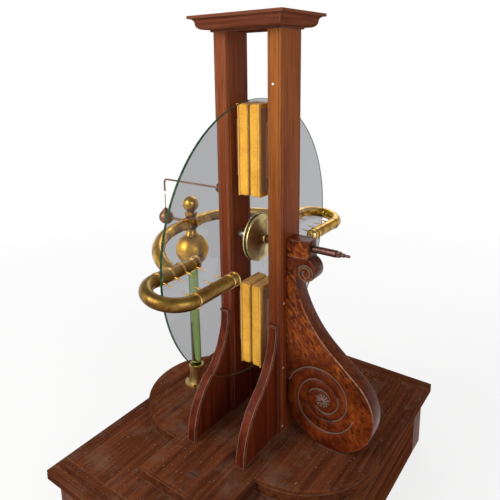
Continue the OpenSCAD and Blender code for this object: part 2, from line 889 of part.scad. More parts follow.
// Rubbers
// One side of a cushion's outline and the corner after it, for half sizes a and b, before turning
function cushion_edge(a, b) = concat(
    [for (i = [0:side_points - 1]) let (t = 2 * i / (side_points - 1) - 1)
        [a - cushion_pull * (1 - t * t), t * (b - cushion_corner)]],
    [for (i = [1:corner_points]) let (q = 90 * i / (corner_points + 1))
        [a - cushion_corner + cushion_corner * cos(q), b - cushion_corner + cushion_corner * sin(q)]]);
function quarter(p) = [for (v = p) [-v.y, v.x]];
function half_turn(p) = [for (v = p) -v];
function cushion_outline(a, b) = let (e = cushion_edge(a, b), f = quarter(cushion_edge(b, a)))
    concat(e, f, half_turn(e), half_turn(f));

// Height above the glass face and inset of each ring of a cushion
cushion_rings = concat(
    [for (i = [0:bevel_rings]) let (q = 90 * i / bevel_rings)
        [rubber_bevel * (1 - cos(q)), rubber_bevel * (1 - sin(q))]],
    [for (i = [1:side_rings]) let (t = i / side_rings)
        [rubber_bevel + (rubber_t - rubber_bevel) * t, -cushion_crown * sin(180 * t)]]);

// A cushion with its glass face at x = 0, its back at x = rubber_t
module cushion() {
    rings = [for (r = cushion_rings)
        [for (p = cushion_outline(rubber_w / 2 - r[1], rubber_l / 2 - r[1])) [r[0], p.x, p.y]]];
    n = len(rings[0]);
    m = len(rings);
    points = concat([for (r = rings) each r], [[0, 0, 0], [rubber_t, 0, 0]]);
    walls = [for (j = [0:m - 2], i = [0:n - 1]) let (a = j * n + i, b = j * n + (i + 1) % n)
        each [[a, a + n, b + n], [a, b + n, b]]];
    caps = [for (i = [0:n - 1]) each [[m * n, i, (i + 1) % n],
                                      [m * n + 1, (m - 1) * n + (i + 1) % n, (m - 1) * n + i]]];
    polyhedron(points, concat(walls, caps));
}

// Places a rubber's piece at its post: side 1 is the crank side, level 1 is above the shaft
module at_rubber(side, level) {
    translate([0, 0, shaft_z + level * rubber_mid]) mirror([side < 0 ? 1 : 0, 0, 0]) children();
}

module rubber_back() {
    block([back_t, rubber_w - 2 * back_in, rubber_l - 2 * back_in],
          [back_x + back_t / 2, 0, back_in - rubber_l / 2]);
    block([cleat_end - cleat_x, cleat_w, cleat_l], [(cleat_x + cleat_end) / 2, 0, -cleat_l / 2]);
}

// A bowed strip: its ends stand on the slot's floor and its crown meets the cleat
module leaf_spring() {
    rotate([90, 0, 0]) linear_extrude(spring_w, center = true) intersection() {
        translate([cleat_end + spring_r, 0]) difference() {
            circle(spring_r);
            circle(spring_r - spring_t);
        }
        translate([cleat_end, -spring_l / 2]) square([spring_room, spring_l]);
    }
}

module rubber_cushion() color(leather) translate([rubber_x, 0, 0]) cushion();
module rubber_board() color(mahogany) rubber_back();
module rubber_spring() color("#8d7440") leaf_spring();

module upper_crank_cushion() at_rubber(1, 1) rubber_cushion();
module upper_conductor_cushion() at_rubber(-1, 1) rubber_cushion();
module lower_crank_cushion() at_rubber(1, -1) rubber_cushion();
module lower_conductor_cushion() at_rubber(-1, -1) rubber_cushion();
module upper_crank_back() at_rubber(1, 1) rubber_board();
module upper_conductor_back() at_rubber(-1, 1) rubber_board();
module lower_crank_back() at_rubber(1, -1) rubber_board();
module lower_conductor_back() at_rubber(-1, -1) rubber_board();
module upper_crank_spring() at_rubber(1, 1) rubber_spring();
module upper_conductor_spring() at_rubber(-1, 1) rubber_spring();
module lower_crank_spring() at_rubber(1, -1) rubber_spring();
module lower_conductor_spring() at_rubber(-1, -1) rubber_spring();

// Conductor column
foot_screw_edge = 1;
foot_screw_pcr = foot_d / 2 - foot_screw_head_r - foot_screw_edge;

module foot_screw_places() {
    for (i = [0:foot_screw_n - 1]) on_column(deck) rotate(60 + 360 * i / foot_screw_n)
        translate([foot_screw_pcr, 0, 0]) children();
}

foot_ring_l = 6;
foot_ring_over = 2;
foot_steps = 10;
foot_screw_room = 0.5;
foot_flare = foot_screw_pcr - foot_screw_head_r - foot_screw_room;
foot_bow = 2;

module column_foot() {
    flare = [for (i = [0:foot_steps]) let (t = i / foot_steps)
        [socket_r + (foot_flare - socket_r) * pow(1 - t, foot_bow),
         foot_flange_t + (foot_waist - foot_flange_t) * t]];
    color(brass) difference() {
        on_column(deck) rotate_extrude() {
            polygon(concat([[0, 0], [foot_d / 2, 0], [foot_d / 2, foot_flange_t]], flare,
                           [[socket_r, foot_h], [0, foot_h]]));
            translate([0, foot_h - foot_ring_l]) square([socket_r + foot_ring_over, foot_ring_l]);
        }
        on_column(deck + foot_h - socket_deep) cylinder(r = column_r + fit, h = socket_deep + over);
        foot_screw_places() cylinder(r = foot_screw_r + fit, h = 4 * foot_flange_t, center = true);
    }
}

module foot_screws() {
    color(brass) foot_screw_places() {
        translate([0, 0, foot_flange_t - foot_screw_l]) cylinder(r = foot_screw_r, h = foot_screw_l);
        translate([0, 0, foot_flange_t]) cylinder(r = foot_screw_head_r, h = foot_screw_head_t);
    }
}

column_z = deck + foot_h - socket_deep;
column_top = ball_collar_z + ball_socket_deep;

module glass_column() {
    color("#7fb59a", 0.6) on_column(column_z) cylinder(r = column_r, h = column_top - column_z);
}

module large_ball() {
    color(brass) on_column() difference() {
        union() {
            translate([0, 0, ball_z]) sphere(ball_r);
            translate([0, 0, ball_collar_z - ball_collar_l / 2]) cylinder(r = socket_r, h = ball_collar_l);
        }
        translate([0, 0, ball_collar_z - ball_collar_l])
            cylinder(r = column_r + fit, h = ball_collar_l + ball_socket_deep);
        translate([0, 0, ball_flat_z]) cylinder(r = ball_r, h = ball_r);
        translate([0, 0, ball_flat_z - spigot_deep - fit])
            cylinder(r = tee_pin_r + fit, h = spigot_deep + over);
    }
}

neck_l = tee_foot_z - ball_flat_z;
neck_rim = 2;
neck_steps = 12;
neck_bow = 1.7;

// A flared neck between the large ball and the tee, with a pin at each end
module ball_neck() {
    wall = [for (i = [0:neck_steps]) let (t = i / neck_steps)
        [neck_head_r + (neck_foot_r - neck_head_r) * pow(1 - t, neck_bow),
         neck_rim + (neck_l - neck_rim) * t]];
    color(brass) on_column(ball_flat_z) rotate_extrude() polygon(concat(
        [[0, -spigot_deep], [tee_pin_r, -spigot_deep], [tee_pin_r, 0], [neck_foot_r, 0]], wall,
        [[tee_pin_r, neck_l], [tee_pin_r, neck_l + neck_pin], [0, neck_l + neck_pin]]));
}

module across() translate([-column_x, 0, shaft_z]) rotate([-90, 0, 0]) children();

module tee_ball() {
    color(brass) difference() {
        union() {
            on_column(shaft_z) sphere(tee_r);
            across() cylinder(r = tee_collar_r, h = 2 * tee_collar_l, center = true);
        }
        across() cylinder(r = tube_r + fit, h = 4 * tee_collar_l, center = true);
        on_column(tee_foot_z - tee_r) cylinder(r = tee_r, h = tee_r);
        on_column(tee_foot_z - over) cylinder(r = tee_pin_r + fit, h = neck_pin + over + fit);
        on_column(finial_foot_z) cylinder(r = tee_r, h = tee_r);
        on_column(finial_foot_z - finial_pin - fit) cylinder(r = tee_pin_r + fit, h = finial_pin + over);
        on_shaft(-column_x - tee_r - over) cylinder(r = side_rod_r + fit, h = tee_r - tube_r + over - fit);
    }
}

cup_r = 15.2;
cup_h = 10;
cup_lip = 2.5;
cup_steps = 8;

// A ball on a short neck that stands in a cup, with a pin below
module finial() {
    ball_up = shaft_z + finial_rise - finial_foot_z;
    cup = [for (i = [0:cup_steps]) let (t = i / cup_steps)
        [finial_seat_r + (cup_r - finial_seat_r) * sin(90 * t), (cup_h - cup_lip) * t]];
    color(brass) on_column(finial_foot_z) {
        rotate_extrude() polygon(concat(
            [[0, -finial_pin], [tee_pin_r, -finial_pin], [tee_pin_r, 0]], cup,
            [[cup_r, cup_h], [finial_neck_r, cup_h], [finial_neck_r, ball_up], [0, ball_up]]));
        translate([0, 0, ball_up]) sphere(finial_r);
    }
}

// Bent tube: straight through the tee, then a wide bend at each end that meets a comb leg at a slant
module tube_wall_section() {
    difference() {
        circle(tube_r);
        circle(tube_r - tube_wall);
    }
}

// The plane of the tube and the combs: its origin is midway between the combs' legs, at the plate
module in_dip() translate([0, 0, comb_z]) rotate([0, arc_dip, 0]) children();

module arc_half() {
    rotate([-90, 0, 0]) linear_extrude(arc_start) tube_wall_section();
    translate([arc_r, arc_start, 0]) mirror([1, 0, 0]) rotate_extrude(angle = arc_turn)
        translate([arc_r, 0]) tube_wall_section();
}

module arc_tube() {
    color(brass) in_dip() difference() {
        translate([-dip_run, 0, 0]) {
            arc_half();
            to_back() arc_half();
        }
        for (s = [-1, 1]) translate([-comb_x, s * arc_end, 0]) rotate([90, 0, 0])
            cylinder(r = tube_r + fit, h = 4 * tube_r, center = true);
    }
}

// Combs, drawn at the front
module comb_tube() {
    for (s = [-1, 1]) translate([s * comb_x, -comb_end, 0]) rotate([90, 0, 0])
        linear_extrude(comb_bend_y - comb_end) tube_wall_section();
    translate([0, -comb_bend_y, 0]) rotate(180) rotate_extrude(angle = 180)
        translate([comb_x, 0]) tube_wall_section();
}

// Runs its children at each point, with +Z towards the glass, from the leg's own middle line
module point_places() {
    for (s = [-1, 1], i = [0:points_n - 1])
        translate([s * comb_x, -point_first - points_pitch * i, 0]) rotate([0, -90 * s, 0]) children();
}

module comb() {
    color(brass) in_dip() difference() {
        comb_tube();
        point_places() cylinder(r = point_d / 2 + fit, h = 2 * tube_r);
    }
}

module comb_points() {
    color(brass) in_dip() point_places() {
        translate([0, 0, tube_r - point_seat]) cylinder(r = point_d / 2, h = point_seat + point_ferrule);
        translate([0, 0, tube_r + point_ferrule])
            cylinder(r1 = point_d / 2 - point_step, r2 = point_tip_r, h = point_l - point_ferrule);
    }
}

// End cap of a leg: a plug, a ring and a low dome
module comb_cap() {
    translate([0, 0, -cap_plug_l]) cylinder(r = tube_r - tube_wall - fit, h = cap_plug_l);
    cylinder(r = ring_r, h = cap_ring_l);
    translate([0, 0, cap_ring_l]) intersection() {
        translate([0, 0, -tube_r / 2]) sphere(tube_r);
        cylinder(r = tube_r, h = tube_r);
    }
}

// Ring round a leg, its middle at distance y from the shaft's axis
module leg_ring(y) translate([0, ring_l / 2 - y, 0]) rotate([90, 0, 0]) ring(ring_r, tube_r + fit, ring_l);

// Caps, a ring at each point of the conductor's leg, and two seam rings on the crank's leg
module comb_fittings() {
    color(brass) in_dip() {
        for (s = [-1, 1]) translate([s * comb_x, -comb_end, 0]) rotate([-90, 0, 0]) comb_cap();
        difference() {
            union() {
                for (i = [0:points_n - 1])
                    translate([-comb_x, 0, 0]) leg_ring(point_first + points_pitch * i);
                for (y = [point_first, comb_bend_y - ring_l / 2]) translate([comb_x, 0, 0]) leg_ring(y);
            }
            point_places() cylinder(r = point_d / 2 + fit, h = 2 * tube_r);
            translate([-comb_x, -arc_end, 0]) rotate(90 + arc_turn) rotate([0, 90, 0])
                cylinder(r = tube_r + arc_join_gap, h = 2 * tube_r);
        }
    }
}

module front_comb() comb();
module back_comb() to_back() comb();
module front_comb_points() comb_points();
module back_comb_points() to_back() comb_points();
module front_comb_fittings() comb_fittings();
module back_comb_fittings() to_back() comb_fittings();

// Side ball, needle and earth rod
module side_rod() {
    start = -side_x + side_ball_r - side_seat;
    color(brass) on_shaft(start) cylinder(r = side_rod_r, h = -column_x - tube_r - 2 * fit - start);
}

module side_ball() {
    color(brass) difference() {
        translate([-side_x, 0, shaft_z]) sphere(side_ball_r);
        on_shaft(-side_x + side_ball_r - side_seat - fit)
            cylinder(r = side_rod_r + fit, h = side_ball_r);
        translate([-side_x, 0, needle_foot_z]) cylinder(r = side_ball_r, h = side_ball_r);
        translate([-side_x, 0, needle_foot_z - spigot_deep - fit])
            cylinder(r = side_rod_r + fit, h = spigot_deep + over);
    }
}

module needle() {
    color(brass) translate([-side_x, 0, 0]) {
        translate([0, 0, needle_foot_z - spigot_deep])
            cylinder(r = side_rod_r, h = spigot_deep + over);
        translate([0, 0, needle_foot_z])
            cylinder(r1 = needle_seat_r, r2 = needle_d / 2 + needle_lip, h = needle_cone_h);
        translate([0, 0, needle_foot_z])
            cylinder(r = needle_d / 2, h = shaft_z + needle_h - needle_foot_z);
    }
}

boss_neck_r = 8;
boss_steps = 10;
boss_bow = 2;
boss_rim = 3;
boss_bead = 3;
boss_bead_wall = 2;
boss_bead_r = boss_neck_r + boss_bead_wall;

// A turned boss on the post: rim, hollow flank, bead and coned tip, bored for the rod
module rod_boss() {
    bead_l = boss_l - 2 * boss_bead;
    wall = [for (i = [0:boss_steps]) let (t = i / boss_steps)
        [boss_neck_r + (boss_d / 2 - boss_neck_r) * pow(1 - t, boss_bow),
         boss_rim + (bead_l - boss_rim) * t]];
    color(brass) difference() {
        translate([-post_out, 0, rod_z]) rotate([0, -90, 0]) rotate_extrude() polygon(concat(
            [[0, -boss_pin_l], [boss_pin_r, -boss_pin_l], [boss_pin_r, 0], [boss_d / 2, 0]], wall,
            [[boss_bead_r, bead_l], [boss_bead_r, bead_l + boss_bead], [boss_tip_r, boss_l], [0, boss_l]]));
        translate([-post_out - boss_l - over, 0, rod_z]) rotate([0, 90, 0])
            cylinder(r = rod_r + run, h = rod_in + over + clear);
    }
}

module earth_rod() {
    color(iron) {
        translate([rod_bend - side_x, 0, rod_z]) rotate([0, 90, 0])
            cylinder(r = rod_r, h = side_x - rod_bend - post_out - boss_l + rod_in);
        translate([rod_bend - side_x, 0, rod_z - rod_bend]) rotate([90, 0, 0]) rotate(90)
            rotate_extrude(angle = 90) translate([rod_bend, 0]) circle(rod_r);
        translate([-side_x, 0, rod_tip_z]) cylinder(r = rod_r, h = rod_z - rod_bend - rod_tip_z);
    }
}

plinth_top();
plinth_clamps();
clamp_pegs();
plinth_stiles();
plinth_side_aprons();
plinth_end_aprons();
base_board();
crank_lobe();
conductor_lobe();
hold_down_screws();
crank_post();
conductor_post();
crank_front_bracket();
crank_back_bracket();
conductor_front_bracket();
conductor_back_bracket();
neck_board();
cornice();
scroll_bracket();
crank_post_bush();
conductor_post_bush();
scroll_bush();
shaft();
shaft_collars();
glass_plate();
hub_washers();
crank_hub_flange();
conductor_hub_flange();
upper_crank_cushion();
upper_conductor_cushion();
lower_crank_cushion();
lower_conductor_cushion();
upper_crank_back();
upper_conductor_back();
lower_crank_back();
lower_conductor_back();
upper_crank_spring();
upper_conductor_spring();
lower_crank_spring();
lower_conductor_spring();
column_foot();
foot_screws();
glass_column();
large_ball();
ball_neck();
tee_ball();
finial();
arc_tube();
front_comb();
back_comb();
front_comb_points();
back_comb_points();
front_comb_fittings();
back_comb_fittings();
side_rod();
side_ball();
needle();
rod_boss();
earth_rod();
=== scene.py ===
"""Finishes a plate friction machine: glass disc, leather rubbers, brass conductor, mahogany frame."""
import math

import bmesh
import bpy
import numpy as np
from bpy.props import FloatProperty, FloatVectorProperty, IntProperty, PointerProperty
from bpy.types import Operator, Panel, PropertyGroup
from mathutils import Matrix, Vector
from mathutils.geometry import delaunay_2d_cdt
from mathutils.kdtree import KDTree


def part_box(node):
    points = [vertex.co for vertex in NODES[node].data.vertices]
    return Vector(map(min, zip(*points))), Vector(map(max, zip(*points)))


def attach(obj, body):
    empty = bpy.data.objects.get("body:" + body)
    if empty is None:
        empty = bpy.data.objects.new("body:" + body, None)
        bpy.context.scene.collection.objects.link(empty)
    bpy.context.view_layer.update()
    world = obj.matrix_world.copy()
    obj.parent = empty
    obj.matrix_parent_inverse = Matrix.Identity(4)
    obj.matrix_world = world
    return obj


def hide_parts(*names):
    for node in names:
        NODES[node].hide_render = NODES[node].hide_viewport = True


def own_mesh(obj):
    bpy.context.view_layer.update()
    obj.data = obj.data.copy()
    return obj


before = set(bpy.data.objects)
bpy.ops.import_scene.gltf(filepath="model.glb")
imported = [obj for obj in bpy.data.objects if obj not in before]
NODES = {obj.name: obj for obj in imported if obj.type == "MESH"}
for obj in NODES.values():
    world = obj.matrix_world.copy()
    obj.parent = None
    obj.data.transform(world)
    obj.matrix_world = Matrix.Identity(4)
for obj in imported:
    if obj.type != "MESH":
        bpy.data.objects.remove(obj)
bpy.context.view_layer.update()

bl_info = {
    "name": "Plate friction machine",
    "version": (1, 0, 0),
    "blender": (4, 5, 0),
    "location": "View3D > Sidebar > Machine",
    "description": "Finishes the packed friction machine and sets it on a plain stage",
    "category": "Object",
}

MM = 0.001
X, Y, Z = (0,), (1,), (2,)
# Inputs of a Mix node that mixes colours
FACTOR, FIRST, SECOND = 0, 6, 7
# Points nearer than this are one
WELD = 0.005 * MM
WHITE = (1, 1, 1, 1)
# Camera solved from the photo: place in metres; azimuth, elevation and roll in degrees; shift of the frame
CAMERA_PLACE = (0.6025, -0.8848, 1.0012)
CAMERA_TURN = (36.99, 12.72, -1.08)
CAMERA_SHIFT = (0.0324, -0.1385)
# Each lamp, named as its power is: place in metres and size
LAMPS = (("key", (-1.1, -2.3, 2.0), 1.5), ("fill", (2.4, -0.9, 1.7), 1.6), ("rim", (-0.8, 2.4, 2.2), 1.6))
# Heights in metres between which a post grows lighter towards the top, and how much of that its sides show,
# since its front is painted lighter as the lit side
NEAR_PAINTED_LIGHT, FAR_PAINTED_LIGHT = (0.5, 0.92, 0.45), (0.5, 0.92, 1.0)
# Nail heads in the crank post, in millimetres: Y and Z on its outer side, X and Z on its front
SIDE_NAILS = ((-25.8, 508.8), (-27, 357.9), (-30, 214.5), (28, 558.6))
FRONT_NAILS = ((62.6, 963.3),)
SUNK_NAILS = ((58.7, 600.6), (73, 417.5))
NAIL_R, NAIL_RISE, NAIL_SUNK = 2.8 * MM, 1.1 * MM, 0.2 * MM
# Rubbers: thickness of the back board and of a spring's strip; the pad's gap, slack and rounding
BACK_THICK, STRIP_THICK = 7 * MM, 0.8 * MM
PAD_GAP, PAD_SLACK, PAD_ROUND = 0.6 * MM, 1.6 * MM, 3 * MM
# Frames for which the cloth is inflated
STUFFING_FRAMES = 20
# Ground rim of the disc: width of its band on the faces, how far it stands proud, and its eased arris
RIM_DEEP, RIM_PROUD, RIM_EASED = 0.7 * MM, 0.04 * MM, 0.5 * MM


def linear(code):
    """An sRGB hex colour as linear red, green, blue and alpha."""
    parts = [int(code[i:i + 2], 16) / 255 for i in (1, 3, 5)]
    return [p / 12.92 if p <= 0.04045 else ((p + 0.055) / 1.055) ** 2.4 for p in parts] + [1.0]


def tint(name, description, code):
    """A colour that the user may change."""
    return FloatVectorProperty(name=name, description=description, subtype="COLOR", size=4,
                               min=0.0, max=1.0, default=linear(code))


def length(name, description, millimetres):
    """A length that the user may change, given in millimetres."""
    return FloatProperty(name=name, description=description, unit="LENGTH", min=0.0, precision=5,
                         default=millimetres * MM)


class WoodFinish(PropertyGroup):
    """Colours and grain of the wooden pieces"""
    # The posts' light colours are painted light: a post's upper part, lightest on its lit front
    post_light: tint("Post, light", "Mahogany of the crank post where light has bleached it", "#a86228")
    post_dark: tint("Post, dark", "Mahogany of the posts near the foot", "#661f0e")
    # The far post's light colour is painted light too, on its sides as much as on its front
    conductor_light: tint("Far post, light", "Bleached mahogany of the conductor post", "#8f4b26")
    bracket_light: tint("Bracket, light", "Lighter figure of the foot brackets", "#6e2c14")
    bracket_dark: tint("Bracket, dark", "Darker figure of the foot brackets", "#4c1a0c")
    cornice_light: tint("Cornice, light", "Lighter figure of the cornice", "#824a34")
    cornice_dark: tint("Cornice, dark", "Darker figure of the cornice", "#5c2e1f")
    board_light: tint("Board, light", "Lighter figure of the base and plinth", "#6f3d24")
    board_dark: tint("Board, dark", "Darker figure of the base and plinth", "#4a2517")
    pore: tint("Pores", "Open pores filled with old wax", "#260d05")
    dust: tint("Dust", "Dust that lies on level wood and in grooves", "#a4907f")
    # The worn arris colour also paints a highlight along the edges
    worn: tint("Worn arris", "Wood worn pale along the edges", "#b58f78")
    burl_light: tint("Burl, light", "Lighter figure of the burl scroll", "#7c3616")
    burl_dark: tint("Burl, dark", "Darker figure of the burl scroll", "#481a0a")
    burl_gold: tint("Burl, gold", "Golden sapwood of the burl scroll", "#aa581c")
    # The burl's side colour is painted shade: the sides of the scroll darker than its face
    burl_shaded_side: tint("Burl, sides", "Sides of the burl scroll, browned by smoke", "#4a1f0c")
    rubber_light: tint("Rubber board, light", "Bare wood of the rubbers' boards", "#dcb490")
    rubber_dark: tint("Rubber board, dark", "Soiled wood of the rubbers' boards", "#b48c6c")
    # The bare burl colour is worn wood and also a painted highlight along the edge
    bare: tint("Burl, bare", "Burl worn bare along the edge", "#d9b79c")
    grain_width: length("Grain width", "Spacing of the grain lines across the wood", 3.2)
    grain_length: length("Grain length", "Length of the grain lines along the wood", 90)
    arris: length("Arris", "Rounding of the sawn edges", 0.9)


class MetalFinish(PropertyGroup):
    """Colours of the metal pieces"""
    brass: tint("Brass", "Lacquered brass, where it is still bright", "#e0ac40")
    tube: tint("Tube brass", "Brass of the front comb, gone olive", "#a98a45")
    rod: tint("Rod brass", "Browned brass of the earth rod and side ball", "#94704e")
    # The browned brass is also the painted shade on the downward faces of the conductor's brass
    brass_brown: tint("Brass, browned", "Brass under tarnish and old lacquer", "#5c3712")
    hub: tint("Hub brass", "Spun brass of the hub, still pale", "#dcc78c")
    ring: tint("Ring brass", "Brass of the combs' rings, rubbed bright", "#e6cf8e")
    bush: tint("Bush bronze", "Oiled bronze of the outer bearing", "#5a3a22")
    nail: tint("Nails", "Tinned nail heads", "#e4e0d8")
    screw: tint("Screws", "Browned heads of the hold-down screws", "#8d6a58")
    bronze: tint("Bronze", "Turned bearing bronze", "#b7a077")
    steel: tint("Steel", "Turned steel of the collars", "#a9a6a1")
    iron: tint("Iron", "Browned iron of the shaft", "#6b4a42")
    iron_dark: tint("Iron, dark", "Browner patches of the shaft", "#4a322c")
    patch: length("Tarnish patch", "Size of a patch of tarnish", 24)


class GlassFinish(PropertyGroup):
    """Colours of the glass"""
    plate: tint("Plate", "Body of the disc", "#f6f7f6")
    light: tint("Light", "Light that has come through the disc", "#e6ece8")
    rim: tint("Rim", "Ground edge of the disc", "#12341a")
    rim_chip: tint("Rim, chips", "Paler chips along the ground edge", "#3f6b48")
    column: tint("Column", "Green glass of the insulating column", "#b0d07c")
    column_dark: tint("Column, streaks", "Deep green of the column's sides and streaks", "#142608")


class LeatherFinish(PropertyGroup):
    """Colours and build of the rubbers"""
    light: tint("Leather, light", "Yellow leather of the rubbers", "#ffbe4a")
    dark: tint("Leather, dark", "Handled and stained leather", "#dc962e")
    worn: tint("Leather, worn", "Leather browned at the ends", "#ad8058")
    rubbed: tint("Leather, rubbed", "Leather rubbed pale along its arrises", "#f3d9a0")
    washer: tint("Washers", "Dark leather washers of the hub", "#3a2a20")
    grain: length("Grain", "Size of the leather's grain, drawn coarser than real so that it shows", 2.4)
    hem: length("Hem", "Width of the leather turned over the back board", 10)
    hem_thick: length("Hem thickness", "Thickness of the turned leather", 1.1)
    voxel: length("Voxel", "Cell of the remesh before the leather is inflated", 4)
    swell: length("Swell", "Furthest that the stuffing may push the leather out", 1.2)


class ScrollCarving(PropertyGroup):
    """Relief of the scroll bracket"""
    line_deep: length("Line depth", "Depth of the carved spiral lines", 1.9)
    line_wide: length("Line width", "Half width of the carved spiral lines", 1.9)
    hollow_deep: length("Hollow depth", "Depth to which the face falls towards a line", 1.7)
    hollow_wide: length("Hollow width", "Half width of that fall", 7)
    lean: length("Curl lean", "How far the outer turn of the small volute leans back", 1.8)
    proud: length("Block", "How far the bearing block stands proud", 1.0)
    edge: length("Edge", "Rounding of the worn edge", 1.7)
    cell: length("Cell", "Spacing of the mesh on the carved faces", 2.2)
    flutes: IntProperty(name="Flutes", description="Flutes of the rosette in the eye", min=6, default=12)


class StudioStage(PropertyGroup):
    """Floor, lamps and camera"""
    floor: tint("Floor", "Colour of the floor", "#f3f3f1")
    behind_glass: tint("Behind glass", "Grey of the room as the glass shows it", "#b0b0b3")
    ceiling: tint("Ceiling", "Dim ceiling that metal mirrors", "#8c8c8c")
    key: FloatProperty(name="Key lamp", description="Power of the lamp at the front left",
                       unit="POWER", min=0.0, default=57.0)
    fill: FloatProperty(name="Fill lamp", description="Power of the lamp at the right",
                        unit="POWER", min=0.0, default=20.0)
    rim: FloatProperty(name="Rim lamp", description="Power of the lamp behind",
                       unit="POWER", min=0.0, default=14.0)
    ambient: FloatProperty(name="Ambient", description="Brightness of the room's even light",
                           min=0.0, default=0.42)
    lens: FloatProperty(name="Lens", description="Focal length in millimetres", min=1.0, default=37.04)


class PlateMachine(PropertyGroup):
    """Every size and colour of the finish"""
    wood: PointerProperty(type=WoodFinish)
    metal: PointerProperty(type=MetalFinish)
    glass: PointerProperty(type=GlassFinish)
    leather: PointerProperty(type=LeatherFinish)
    carving: PointerProperty(type=ScrollCarving)
    stage: PointerProperty(type=StudioStage)


def add(tree, kind, inputs=None, **settings):
    """Adds a shader node with these settings, and fills its inputs with values or links."""
    made = tree.nodes.new("ShaderNode" + kind)
    for name, value in settings.items():
        setattr(made, name, value)
    for key, value in (inputs or {}).items():
        if isinstance(value, bpy.types.Node):
            value = next(o for o in value.outputs if o.enabled)
        if isinstance(value, bpy.types.NodeSocket):
            tree.links.new(value, made.inputs[key])
        else:
            made.inputs[key].default_value = value
    return made


def blank(name):
    """A new material and its empty node tree."""
    made = bpy.data.materials.new(name)
    made.use_nodes = True
    made.node_tree.nodes.clear()
    return made, made.node_tree


def coat(material, *names):
    """Gives CAD nodes a material."""
    for name in names:
        for holder in NODES[name].material_slots:
            holder.material = material


def ease(width, *names):
    """Rounds the sawn edges of CAD nodes a little, as a plane and handling do."""
    for name in names:
        node = NODES[name]
        weld = node.modifiers.new("weld", "WELD")
        weld.merge_threshold = WELD
        flat = node.modifiers.new("flat", "DECIMATE")
        flat.decimate_type = "DISSOLVE"
        flat.angle_limit = math.radians(0.5)
        bevel = node.modifiers.new("arris", "BEVEL")
        bevel.width = width
        bevel.segments = 2
        bevel.limit_method = "ANGLE"
        bevel.angle_limit = math.radians(35)
        normals = node.modifiers.new("normals", "WEIGHTED_NORMAL")
        normals.weight = 80


def piece(name, vertices, faces, material, body, slot, sharp=40):
    """A new mesh piece that rides on a body."""
    mesh = bpy.data.meshes.new(name)
    mesh.from_pydata([tuple(v) for v in vertices], [], faces)
    mesh.validate()
    made = bpy.data.objects.new(name, mesh)
    bpy.context.scene.collection.objects.link(made)
    mesh.materials.append(material)
    mesh.shade_smooth()
    mesh.set_sharp_from_angle(angle=math.radians(sharp))
    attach(made, body)
    return made


